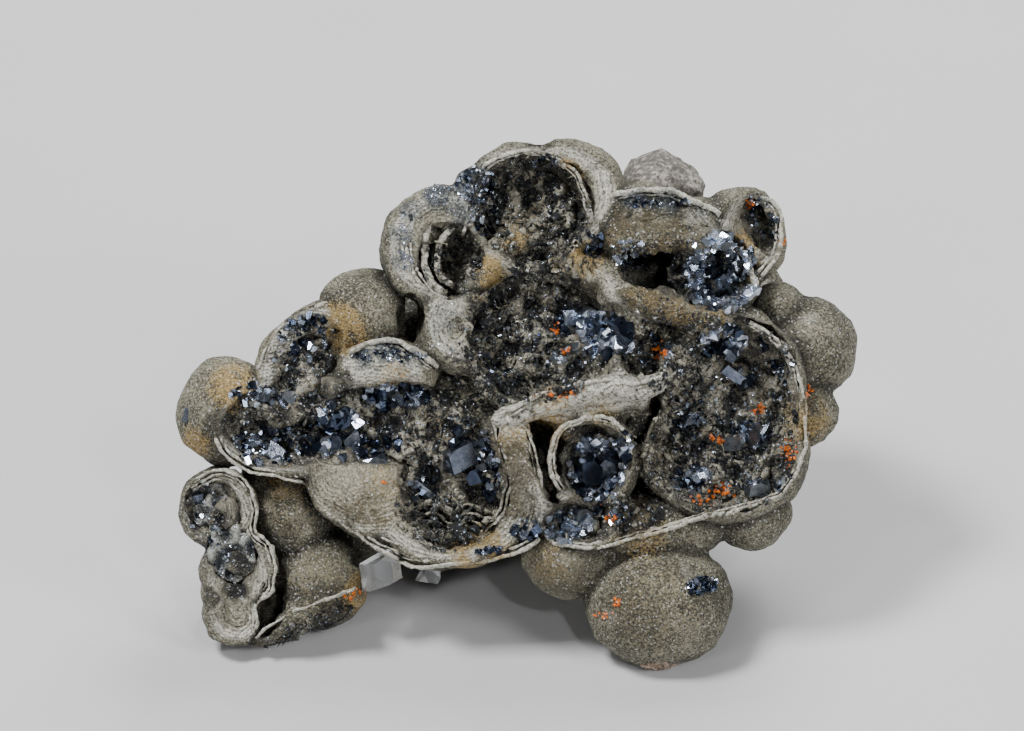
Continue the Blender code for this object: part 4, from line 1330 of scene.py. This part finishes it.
LARGE_CRYSTALS = (
    (-22.1, -6.7, 3.6, 2.6, 2.8, 20, 30, 8), (-20.5, -9.3, 2.9, 2.4, 2.6, 35, 10, 40),
    (-22.3, -10.0, 1.7, 2.9, 1.8, 10, 25, 4), (-17.4, -12.2, 3.8, 1.8, 2.0, 15, 20, 18),
    (-30.2, -11.0, 2.6, 3.0, 2.4, 30, 15, 70), (-31.4, -3.6, 1.9, 2.3, 2.0, 25, 40, 10),
    (-28.2, -4.2, 2.3, 2.0, 2.0, 15, 35, 60), (-15.8, -3.4, 2.3, 2.0, 2.2, 30, 45, 20),
    (-13.0, -3.2, 2.5, 2.1, 2.2, 10, 30, 50), (-27.6, 2.2, 1.5, 2.0, 1.6, 20, 20, 30),
    (-6.8, -11.4, 4.4, 3.7, 3.6, 25, 20, 28), (-3.6, -9.6, 3.1, 2.9, 2.8, 40, 25, 75),
    (-4.4, -13.7, 2.6, 2.2, 2.4, 15, 50, 35), (-11.4, -15.4, 4.2, 1.6, 1.7, 20, 15, -38),
    (7.2, 6.3, 2.9, 2.8, 2.6, 30, 20, 15), (10.8, 5.6, 3.2, 3.0, 2.6, 20, 40, 50),
    (12.6, 3.4, 3.0, 2.0, 2.0, 15, 20, -38), (10.2, 3.2, 2.2, 1.9, 2.0, 40, 10, 10),
    (24.1, 13.4, 1.4, 2.4, 1.5, 15, 20, 12), (25.5, 11.9, 2.1, 1.8, 1.9, 35, 15, 30),
    (26.4, 15.4, 1.9, 1.9, 1.8, 45, 35, 0), (27.6, 9.4, 2.6, 2.1, 2.2, 20, 30, 55),
    (28.4, 3.5, 3.1, 2.3, 2.4, 25, 25, -12), (26.3, 2.4, 2.4, 2.1, 2.2, 40, 15, 30),
    (27.8, -1.0, 4.0, 1.7, 1.8, 20, 15, -36), (31.6, 2.8, 0.9, 2.6, 1.2, 10, 20, 24),
    (34.0, -0.6, 1.1, 2.6, 1.3, 15, 10, -4), (22.4, -6.6, 3.2, 1.6, 2.0, 20, 35, 10),
    (30.2, -8.6, 3.1, 2.4, 2.6, 30, 20, 40), (27.8, -9.8, 1.9, 2.2, 2.0, 15, 40, 5),
    (22.2, -15.0, 2.8, 2.4, 2.4, 35, 30, 20), (30.8, -15.4, 3.6, 1.9, 2.2, 15, 20, 12),
    (9.4, -13.2, 3.4, 4.2, 3.6, 25, 20, 15), (12.0, -12.4, 3.0, 3.8, 3.2, 40, 10, -25),
    (12.6, -15.4, 2.8, 2.6, 2.8, 20, 45, 40), (8.8, -18.4, 2.8, 1.9, 2.2, 30, 25, 10),
    (-39.6, -16.6, 1.6, 1.6, 1.5, 30, 20, 15), (-37.2, -20.4, 1.0, 1.8, 1.2, 15, 25, 25),
    (17.9, 3.6, 1.3, 1.6, 1.3, 20, 15, 15), (33.9, -14.8, 0.7, 2.2, 0.9, 10, 10, 8),
    (-40.9, -6.2, 0.9, 2.3, 0.9, 10, 0, -12),
)


def tumbled(dice: random.Random, spot: Vector, width: float, stretch: tuple, turn: float) -> Matrix:
    """The place of a small shape that lies anyhow.

    Args:
        dice: Picks its size and turn.
        spot: Where it lies.
        width: About how wide it is.
        stretch: The least and the most that each side is stretched.
        turn: The largest turn about each axis.

    Returns:
        The matrix that puts the shape there.
    """
    size = Vector([width * dice.uniform(*stretch) for _ in range(3)])
    turns = Euler([dice.uniform(0, turn) for _ in range(3)])
    return Matrix.LocRotScale(spot, turns, size)


class Strewing:
    """Small shapes that lie thick over patches of the face."""

    SINGLE_SCALE = 0.8

    def __init__(self, kit: ShapeKit, face: Face, seed: int, bm: "bmesh.types.BMesh | None" = None) -> None:
        """Args:
            kit: The shapes.
            face: What they lie on.
            seed: Picks where they fall.
            bm: A heap to add to, if there is one.
        """
        self.kit = kit
        self.face = face
        self.dice = random.Random(seed)
        self.bm = bm or bmesh.new()

    def set_out(self, rows: tuple) -> None:
        """Sets single shapes at named places, each with its size and its turn.

        Args:
            rows: For each one u, v, length, breadth, depth and three turns in degrees.
        """
        for u, v, length, breadth, depth, *turns in rows:
            found = self.face.under(u, v)
            if found:
                turn = Euler([math.radians(angle) for angle in turns])
                size = Vector((length, breadth, depth)) * self.SINGLE_SCALE
                place = Matrix.LocRotScale(found[0], turn, size)
                self.kit.sow(self.bm, self.dice, place, self.dice.uniform(0.0, 0.6))

    def strew(self, patch: Patch, lifted: float) -> None:
        """Strews shapes over a patch, in clumps.

        Args:
            patch: Where, how many and how large.
            lifted: How far a shape's middle stands above the ground, as a share of its width.
        """
        dice = self.dice
        turned = Matrix.Rotation(math.radians(patch.turn), 2)
        for _ in range(patch.count):
            angle, reach = dice.uniform(0, 2 * math.pi), math.sqrt(dice.random())
            edge = Vector((patch.reach_u * math.cos(angle), patch.reach_v * math.sin(angle)))
            offset = turned @ edge * reach
            u, v = patch.u + offset.x, patch.v + offset.y
            clump = noise.noise(Vector((u, v, 2.0)) * 0.55)
            found = self.face.under(u, v) if clump > dice.uniform(-0.7, 0.1) else None
            if not found:
                continue
            width = patch.small + (patch.large - patch.small) * dice.random() ** 2.6
            place = tumbled(dice, found[0] + found[1] * width * lifted, width, (0.6, 1.25), 2 * math.pi)
            local = noise.noise(Vector((u, v, 9.0)) * 0.5) * 0.9
            tone = dice.random() ** 1.8 * 0.75 + 0.08 + local + patch.bright
            self.kit.sow(self.bm, dice, place, min(1.0, max(0.0, tone)))

    def build(self, name: str) -> Form:
        """Returns: Everything strewn so far as one form."""
        return Form(name, self.bm)


Run = tuple[tuple[float, float], ...]


def smooth_run(run: Run, spacing: float) -> np.ndarray:
    """A smooth line through named places.

    Args:
        run: Places across and up the face.
        spacing: Distance between the points of the line.

    Returns:
        The points of the line, a row each.
    """
    spots = np.array([run[0], *run, run[-1]])
    line = []
    for before, start, end, after in zip(spots, spots[1:], spots[2:], spots[3:]):
        steps = max(2, round(float(np.linalg.norm(end - start)) / spacing))
        share = np.arange(steps)[:, None] / steps
        bend = 2 * before - 5 * start + 4 * end - after
        twist = 3 * start - before - 3 * end + after
        line.append(start + 0.5 * ((end - before) * share + bend * share**2 + twist * share**3))
    return np.concatenate([*line, spots[-1:]])


@dataclass(frozen=True)
class LayerEdge:
    """The thin edge of one layer that stands up along a run on the break."""

    run: Run
    top: float = 0.25
    height: float = 1.8
    thickness: float = 0.45
    inward: float = 0.0
    spacing: float = 0.22
    rows: int = 5
    end_dip: float = 1.4

    def add(self, bm: bmesh.types.BMesh, grain: Grain) -> None:
        """Adds the edge.

        Args:
            bm: What it is added to.
            grain: Noise that makes it ragged.
        """
        line = smooth_run(self.run, self.spacing)
        along = np.gradient(line, axis=0)
        across = np.stack([-along[:, 1], along[:, 0]], axis=1) / np.linalg.norm(along, axis=1)[:, None]
        line += across * self.inward * 0.6
        strip = bmesh.new()
        bmesh.ops.create_grid(strip, x_segments=len(line) - 1, y_segments=self.rows, size=0.5)
        verts = list(strip.verts)
        grid = np.array([vert.co for vert in verts])
        spots = line[np.rint((grid[:, 0] + 0.5) * (len(line) - 1)).astype(int)]
        deep = (0.5 - grid[:, 1]) * self.height
        flat = np.column_stack([spots, np.zeros(len(spots))])
        ragged = grain.fractal(flat, 2.2, 4) * 0.4 + grain.at(flat, 0.5) * 0.22 - 0.12
        ragged = ragged * (1 - deep / self.height)
        share = grid[:, 0] + 0.5
        dip = self.end_dip * (1 - smooth_step(0.0, 0.09, share) * smooth_step(1.0, 0.91, share))
        level = level_at(BREAK_LEVELS, spots[:, 0], spots[:, 1]) + self.top + ragged - deep - dip
        places = np.column_stack([spots, level])
        sway = [grain.fractal(places + shift, 2.4, 3) * 0.26 for shift in (0, 40)]
        places[:, :2] += np.stack(sway, axis=1)
        for vert, place in zip(verts, places):
            vert.co = place
        strip.normal_update()
        raised = bmesh.ops.extrude_face_region(strip, geom=strip.faces[:])["geom"]
        for vert in (item for item in raised if isinstance(item, bmesh.types.BMVert)):
            vert.co += vert.normal * self.thickness * 0.75
        bmesh.ops.recalc_face_normals(strip, faces=strip.faces)
        strip.normal_update()
        rough = np.array([vert.co for vert in strip.verts])
        for vert, shift in zip(list(strip.verts), grain.fractal(rough, 0.6, 2) * 0.17):
            vert.co += vert.normal * shift
        pour(mesh_of("edge", strip), bm)


def layer_rows(*rows: tuple) -> list[LayerEdge]:
    """Layer edges from rows that give a run, its top, height, thickness and distance inward."""
    return [LayerEdge(*row) for row in rows]


ARCH: Run = ((-21.5, 1.3), (-19.0, 2.6), (-16.5, 3.4), (-14.6, 3.4), (-11.5, 1.9), (-9.0, 0.4))
EAR: Run = ((-10.2, 20.6), (-12.1, 18.6), (-12.9, 15.7), (-12.4, 12.2), (-10.5, 9.4), (-8.1, 7.9))
EAR_INNER: Run = ((-8.4, 19.2), (-10.0, 17.6), (-10.6, 14.4), (-10.0, 11.3), (-8.1, 9.2))
EAR_CORE: Run = ((-7.0, 17.6), (-8.9, 15.1), (-8.8, 11.9), (-7.1, 10.1))
TOP: Run = (
    (-6.3, 23.2), (-4.6, 25.1), (-2.1, 26.7), (1.0, 27.6), (4.1, 27.2), (7.9, 25.1), (9.8, 21.9),
    (11.4, 16.3),
)
NOTCH: Run = ((-7.0, 21.8), (-5.8, 20.2), (-5.4, 18.2), (-6.0, 16.4))
DRAPE: Run = ((11.6, 21.1), (14.8, 22.1), (17.9, 22.2), (21.0, 21.6), (23.5, 20.3), (26.9, 18.8))
VUG: Run = ((28.5, 15.1), (30.0, 12.9), (30.6, 10.1), (29.5, 7.6), (27.3, 5.9))
CORNER: Run = ((29.1, 21.7), (31.6, 21.3), (33.5, 19.8), (34.0, 16.3), (32.9, 12.9), (31.3, 10.7))
RIGHT: Run = (
    (29.1, 5.9), (32.3, 4.2), (34.8, 1.5), (36.4, -2.4), (36.8, -6.8), (36.6, -11.2), (35.0, -14.9),
    (32.9, -16.8), (28.5, -18.1), (23.5, -19.3), (18.5, -20.8), (13.5, -22.2), (9.1, -23.1), (5.4, -22.4),
    (3.8, -20.6),
)
LOWER: Run = ((-14.3, -24.4), (-11.5, -25.0), (-7.8, -24.7), (-3.4, -24.2), (0.4, -23.2), (3.5, -21.6))
WALL: Run = ((1.9, -7.4), (3.3, -11.8), (3.6, -16.2), (2.9, -19.3), (1.0, -22.0))
WALL_INNER: Run = ((-1.5, -6.2), (-0.9, -10.6), (0.0, -14.3), (-0.9, -18.1), (-2.8, -20.6))
CAP: Run = ((-25.9, -14.7), (-23.4, -17.9), (-20.3, -20.4), (-17.1, -22.6), (-14.3, -24.2))
LEFT: Run = ((-37.0, -8.6), (-35.8, -11.2), (-32.5, -13.1), (-28.5, -13.9), (-25.9, -14.5))
SHOULDER: Run = ((-32.2, -1.0), (-31.0, 2.4), (-28.8, 5.2), (-26.0, 7.0), (-22.8, 8.0))
LOW_LEFT: Run = (
    (-40.6, -14.8), (-38.0, -13.2), (-35.2, -13.2), (-32.8, -14.9), (-32.0, -18.0), (-32.2, -20.4),
    (-30.4, -22.4), (-29.6, -25.6), (-30.4, -28.6), (-32.0, -30.0), (-31.8, -32.6), (-33.6, -34.6),
)
NEST: Run = ((-33.0, -34.6), (-29.6, -32.2), (-26.5, -30.4), (-22.8, -29.2), (-19.6, -27.6))
POD: Run = (
    (6.3, -16.8), (4.9, -14.3), (4.6, -11.2), (5.6, -8.1), (9.1, -6.0), (12.9, -6.7), (14.8, -9.3),
    (15.2, -12.4),
)
SHELF: Run = ((-1.5, -6.2), (1.0, -4.7), (4.1, -3.4), (7.9, -2.1), (11.0, -1.5), (16.0, -1.9), (20.4, -0.9))
RIDGE: Run = ((12.0, 9.4), (14.8, 9.9), (17.3, 8.4), (20.4, 7.5), (23.5, 6.9), (27.0, 5.6))
SCALLOPS: Run = ((-12.6, -19.8), (-10.0, -18.2), (-7.8, -19.6), (-5.4, -18.4), (-2.6, -19.6))
CHIMNEY: Run = ((7.6, 15.2), (8.1, 15.7), (8.6, 15.2), (8.1, 14.7), (7.7, 15.0))
LAYER_EDGES = layer_rows(
    (ARCH, 0.5, 2.2, 0.8), (ARCH, 0.0, 1.6, 0.3, -1.5), (ARCH, 0.0, 1.6, 0.25, -2.3), (EAR, 0.2, 1.6, 0.5),
    (EAR, 0.1, 1.2, 0.3, -1.2), (EAR_INNER, -0.2, 3.0, 1.1), (EAR_CORE, -0.9, 3.0, 0.9),
    (EAR, 0.1, 1.2, 0.25, 0.8), (TOP, 0.3, 2.2, 0.5, -0.7), (TOP, 0.0, 2.4, 0.25, -1.5),
    (NOTCH, 0.2, 2.4, 0.5), (DRAPE, 0.9, 2.4, 0.8), (DRAPE, 0.3, 1.6, 0.3, -1.3), (VUG, 0.3, 3.0, 0.7),
    (CORNER, 0.2, 2.0, 0.55), (CORNER, -0.2, 2.0, 0.3, -1.2), (RIGHT, 0.3, 2.6, 0.55),
    (RIGHT, -0.2, 2.2, 0.25, -0.9), (LOWER, 0.4, 2.2, 0.55), (LOWER, 0.0, 2.0, 0.3, 1.0),
    (LOWER, -0.3, 2.0, 0.25, 1.8), (WALL, 0.3, 2.0, 0.4), (WALL, 0.2, 2.0, 0.3, -0.9),
    (WALL, 0.1, 2.0, 0.3, -1.7), (WALL_INNER, 0.0, 2.4, 0.35), (WALL_INNER, -0.8, 2.4, 0.3, -0.9),
    (CAP, 0.3, 1.6, 0.4), (CAP, 0.1, 1.4, 0.25, 1.1), (CAP, 0.0, 1.4, 0.25, 2.6), (LEFT, 0.3, 2.0, 0.45),
    (LEFT, 0.0, 1.8, 0.3, 0.9), (SHOULDER, 0.3, 2.0, 0.5), (SHOULDER, 0.0, 1.8, 0.25, -0.9),
    (LOW_LEFT, 0.2, 1.6, 0.4), (LOW_LEFT, 0.1, 1.6, 0.3, -0.9), (LOW_LEFT, 0.0, 1.6, 0.25, -1.7),
    (NEST, 0.0, 2.6, 0.35), (POD, 0.4, 3.0, 0.6), (POD, 0.2, 3.0, 0.3, -0.9), (SHELF, 2.2, 2.6, 0.6),
    (SHELF, 1.6, 1.8, 0.3, -1.1), (RIDGE, 1.6, 2.6, 0.6), (RIDGE, 0.9, 2.2, 0.4, -1.8),
    (SCALLOPS, -2.0, 2.6, 0.3), (SCALLOPS, -2.6, 2.2, 0.3, 1.7), (SCALLOPS, -1.6, 2.2, 0.3, -1.5),
    (CHIMNEY, 0.1, 1.8, 0.22),
)


class BrokenEdges:
    """The edges of the single layers that stand out on the break."""

    def build(self) -> Form:
        """Builds the edges.

        Returns:
            The edges as one form, marked like the mass.
        """
        grain = Grain(61)
        bm = bmesh.new()
        for edge in LAYER_EDGES:
            edge.add(bm, grain)
        form = Form("layer_edges", bm)
        mesh = form.thing.data
        plain = np.ones(len(mesh.vertices))
        u, v, w = coordinates(mesh).T
        store(mesh, "depth", plain * 9)
        store(mesh, "rim", plain)
        store(mesh, "cut", plain)
        store(mesh, "hollow", smooth_step(0.9, 2.4, level_at(BREAK_LEVELS, u, v) - w) * 0.9)
        store(mesh, "relief_shade", plain)
        stain(mesh, grain)
        return form


@dataclass
class HollowFilling:
    """The loose gritty filling of one hollow, which stands for its crust."""

    node: str
    rows: list[Lump]
    grain: Grain = field(default_factory=lambda: Grain(31))
    coarse_cell: float = 0.4
    cell: float = 0.3

    def build(self) -> Form:
        """Models the filling.

        Returns:
            The filling in the face frame.
        """
        form = lump_form(self.node + "_filling", self.rows, 3, 0.06, grow=-0.1).melt(self.coarse_cell)
        fill = uneven_block("fill_block", FILL_LEVELS, 1.1, 3.5, 0.6, back=False)
        form.join(fill, Joining.KEEP_SHARED).melt(self.cell)
        mesh = form.thing.data
        points = coordinates(mesh)
        webs = 0.55 - 2.2 * np.abs(self.grain.fractal(points, 2.6, 2))
        move = webs * 0.7 + self.grain.fractal(points, 1.2, 2) * 0.5 + self.grain.at(points, 3.4) * 0.4
        form.shift(move * np.clip(coordinates(mesh, "normal")[:, 2], 0, 1))
        # painted shade: how far the filling stands out, so that the material darkens where it lies low.
        store(mesh, "relief_shade", smooth_step(-0.9, 0.8, move))
        return form


class Chips:
    """The pieces of other minerals on the arsenic, finer copies of their solids."""

    CUTS = 3
    BROKEN_PLANES = 10
    LEVEL_FOOT = 0.4 * MM

    def build(self, node: str, roughness: float, pitch: float) -> bpy.types.Object:
        """Roughens a chip of rock in place.

        Args:
            node: The solid that it follows.
            roughness: Height of the bumps in millimetres.
            pitch: Size of the bumps in millimetres.

        Returns:
            The finished piece.
        """
        bm = bmesh.new()
        bm.from_mesh(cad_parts[node].data)
        bmesh.ops.remove_doubles(bm, verts=bm.verts, dist=1e-6)
        bmesh.ops.subdivide_edges(bm, edges=bm.edges[:], cuts=self.CUTS, use_grid_fill=True)
        dice = random.Random(node)
        middle = sum((vert.co for vert in bm.verts), Vector()) / len(bm.verts)
        for _ in range(self.BROKEN_PLANES):
            way = Vector([dice.gauss(0, 1) for _ in range(3)]).normalized()
            reach = max((vert.co - middle).dot(way) for vert in bm.verts) * dice.uniform(0.8, 0.97)
            for vert in bm.verts:
                vert.co -= way * max((vert.co - middle).dot(way) - reach, 0)
        grain = Grain(41)
        spots = np.array([vert.co for vert in bm.verts]) / MM
        for vert, shift in zip(list(bm.verts), grain.fractal(spots, pitch, 3)):
            if vert.co.z > self.LEVEL_FOOT:
                vert.co += vert.normal * (min(shift, 0.2) - 0.2) * roughness * MM
        piece = thing_of(node + "_rough", mesh_of(node + "_rough", bm))
        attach(piece, "root")
        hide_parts(node)
        return piece


REALGAR_SPOTS = (
    (34.8, -10.6, 1.0, 1.6, 14), (37.0, -3.1, 0.6, 0.8, 5), (26.0, -9.3, 0.8, 0.5, 6),
    (31.0, -5.6, 0.9, 0.5, 6), (26.0, -15.6, 1.6, 0.8, 10), (23.5, -16.8, 1.2, 0.7, 8),
    (18.5, 1.7, 0.6, 1.0, 8), (5.5, 4.4, 0.5, 0.8, 6), (6.8, 1.6, 0.4, 0.4, 4), (29.8, 20.3, 0.7, 0.5, 6),
    (33.9, 15.6, 0.5, 0.4, 4), (12.2, -19.3, 0.7, 0.5, 6), (5.4, -14.3, 0.4, 0.5, 4),
    (6.0, -3.7, 2.2, 0.7, 8), (11.2, -31.2, 0.8, 0.4, 5), (13.1, -29.7, 0.4, 0.4, 4),
    (-15.9, -14.6, 0.3, 0.3, 2), (-19.6, -28.7, 1.2, 0.7, 6),
)


class RealgarGrains:
    """Orange grains that sit in the hollows and on the shells."""

    SPREAD = 0.6
    SMALL, LARGE = 0.12, 0.42

    def build(self, kit: ShapeKit, face: Face) -> Form:
        """Builds the grains.

        Args:
            kit: Crystal shapes.
            face: What they stand on.

        Returns:
            The grains as one form.
        """
        dice = random.Random(12)
        bm = bmesh.new()
        for u, v, reach_u, reach_v, count in REALGAR_SPOTS:
            for _ in range(count * 2):
                across, up = dice.gauss(0, self.SPREAD) * reach_u, dice.gauss(0, self.SPREAD) * reach_v
                found = face.under(u + across, v + up)
                if found:
                    width = dice.uniform(self.SMALL, self.LARGE)
                    kit.sow(bm, dice, tumbled(dice, found[0], width, (0.7, 1.3), 6), 0.5)
        return Form("realgar_grains", bm)


def dress(piece: bpy.types.Object, material: bpy.types.Material, smooth: bool = True) -> None:
    """Gives a piece its one material and its shading.

    Args:
        piece: The piece.
        material: Its material.
        smooth: False where its faces are flat.
    """
    piece.data.materials.clear()
    piece.data.materials.append(material)
    piece.data.polygons.foreach_set("use_smooth", [smooth] * len(piece.data.polygons))


class Studio:
    """A pale floor, soft lights and the camera at the photograph's angle."""

    DISTANCE = 1.0
    VIEW_WIDTH = 0.128
    MIDDLE = Vector((0, 0, 0.03))
    AIR = (0.55, 0.58, 0.63, 1)
    AIR_STRENGTH = 0.16
    LIGHTS = {
        "key": ((-0.40, -0.05, 0.80), 0.22, 10.5),
        "fill": ((0.60, -0.40, 0.45), 0.22, 3.6),
        "back": ((0.20, 0.50, 0.60), 0.34, 6.0),
        "glint_left": ((-0.50, -0.55, 0.30), 0.07, 1.3),
        "glint_right": ((0.25, -0.62, 0.62), 0.06, 1.3),
    }

    def floor(self) -> None:
        """Lays the floor that the piece stands on."""
        bm = bmesh.new()
        bmesh.ops.create_grid(bm, x_segments=2, y_segments=2, size=1.5)
        floor = thing_of("studio_floor", mesh_of("studio_floor", bm))
        g = Graph("floor_paint")
        mottle = g.noise(40.0, 2)
        g.set(base_color=g.mix(mottle, (0.50, 0.50, 0.51), (0.54, 0.54, 0.55)), roughness=0.6)
        floor.data.materials.append(g.material)

    def light(self, name: str, place: Spot, size: float, watts: float) -> None:
        """Hangs a square soft light that looks at the piece.

        Args:
            name: The light's name.
            place: Where it hangs, in metres.
            size: Its side in metres.
            watts: Its power.
        """
        lamp = bpy.data.lights.new(name, "AREA")
        lamp.size = size
        lamp.energy = watts
        thing = thing_of(name, lamp)
        thing.location = place
        thing.rotation_euler = (self.MIDDLE - Vector(place)).to_track_quat("-Z", "Y").to_euler()

    def build(self) -> None:
        """Sets up the room, the lights and the camera."""
        scene = bpy.context.scene
        self.floor()
        world = bpy.data.worlds.new("studio_air")
        world.use_nodes = True
        air = world.node_tree.nodes["Background"].inputs
        air[0].default_value = self.AIR
        air[1].default_value = self.AIR_STRENGTH
        scene.world = world
        for name, row in self.LIGHTS.items():
            self.light(name, *row)
        lens = bpy.data.cameras.new("camera")
        lens.lens = lens.sensor_width * self.DISTANCE / self.VIEW_WIDTH
        lens.clip_start, lens.clip_end = 0.05, 20
        camera = thing_of("camera", lens)
        stand_off = Matrix.Translation((0, 0, self.DISTANCE / MM))
        camera.matrix_world = FACE_TO_WORLD @ stand_off @ Matrix.Scale(1 / MM, 4)
        scene.camera = camera


class Side(Enum):
    """Which half of the face a heap of rubble lies in."""

    LEFT = "left_rubble"
    RIGHT = "right_rubble"

    def holds(self, patch: Patch) -> bool:
        """True for a patch in this half."""
        return (patch.u < 0) == (self is Side.LEFT)


def loose_heap(side: Side, ground: Face) -> Form:
    """The crumbs, flakes and fibres that lie loose in one half of the face.

    Args:
        side: Which half.
        ground: What they lie on.

    Returns:
        The heap as one form.
    """
    crumbs = Strewing(ShapeKit("crumb_kind", map(crumb, range(12))), ground, 5)
    flakes = Strewing(ShapeKit("flake_kind", map(flake, range(8))), ground, 6, crumbs.bm)
    fibres = Strewing(ShapeKit("fibre_kind", map(fibre, range(4))), ground, 7, crumbs.bm)
    for patch in filter(side.holds, RUBBLE_PATCHES):
        crumbs.strew(patch, 0.1)
        fibres.strew(replace(patch, count=patch.count * 2, small=0.5, large=1.6), 0.15)
    for patch in filter(side.holds, FLAKE_PATCHES):
        flakes.strew(patch, 0.25)
    return crumbs.build(side.value)


def main() -> None:
    """Builds the pieces in order, dresses them and sets up the room."""
    mass = ArsenicMass().build()
    LOG.info("mass modelled")
    fillings = [HollowFilling(node, rows).build() for node, rows in HOLLOWS.items()]
    LOG.info("fillings modelled")
    edges = BrokenEdges().build()
    ground = Face(mass, edges, *fillings)
    rubble = [loose_heap(side, ground) for side in Side]
    LOG.info("rubble strewn")
    face = Face(mass, edges, *rubble, *fillings)
    small = ShapeKit("crystal_kind", crystals(24, 0.52, 0.68))
    large = ShapeKit("crystal_kind", crystals(12, 0.62, 0.78))
    strewing = Strewing(small, face, 71)
    Strewing(large, face, 72, strewing.bm).set_out(LARGE_CRYSTALS)
    for patch in PATCHES:
        strewing.strew(patch, 0.12)
    hollow_crystals = strewing.build("hollow_crystals")
    strewing = Strewing(ShapeKit("crumb_kind", map(crumb, range(12))), face, 9)
    strewing.strew(TIP_PATCH, 0.0)
    tip_crumbs = strewing.build("tip_crumbs")
    realgar = RealgarGrains().build(small, Face(mass, *rubble, hollow_crystals, *fillings))
    LOG.info("crystals grown")
    shell = ArsenicFinish().build()
    dress(mass.place("arsenic", "arsenic_mass"), shell)
    dress(edges.place("arsenic"), shell)
    rough = RubbleFinish("hollow_rubble", "relief_shade").build()
    grey = RubbleFinish(
        "grey_rubble",
        "relief_shade",
        dark=(0.035, 0.038, 0.04),
        light=(0.34, 0.34, 0.30),
        brown=(0.16, 0.17, 0.18),
    ).build()
    for node, filling in zip(HOLLOWS, fillings):
        dress(filling.place("dark_crystal", node), grey if node == "low_left_crust" else rough)
    loose = RubbleFinish("rotten_crumbs", "tone").build()
    for heap in rubble:
        dress(heap.place("dark_crystal"), loose)
    metal = CrystalFinish().build()
    dress(hollow_crystals.place("dark_crystal", "steel_crystal"), metal, smooth=False)
    dress(realgar.place("dark_crystal"), RealgarFinish().build(), smooth=False)
    chips = Chips()
    rock = chips.build("matrix_rock", 0.6, 1.6)
    dress(rock, RockFinish("pale_matrix", (0.50, 0.46, 0.41), (0.085, 0.078, 0.066)).build(), smooth=False)
    tip = chips.build("tip_rock", 0.5, 1.4)
    pink = RockFinish("tip_matrix", (0.66, 0.55, 0.46), (0.26, 0.19, 0.14)).build()
    dress(tip, pink, smooth=False)
    dress(tip_crumbs.place("tip_rock"), pink, smooth=False)
    clear = CalciteFinish().build()
    for node in ("calcite_large", "calcite_small"):
        dress(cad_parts[node], clear, smooth=False)
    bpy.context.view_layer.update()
    Studio().build()


if __name__ == "__main__":
    logging.basicConfig(level=logging.INFO, format="%(asctime)s %(message)s")
    main()
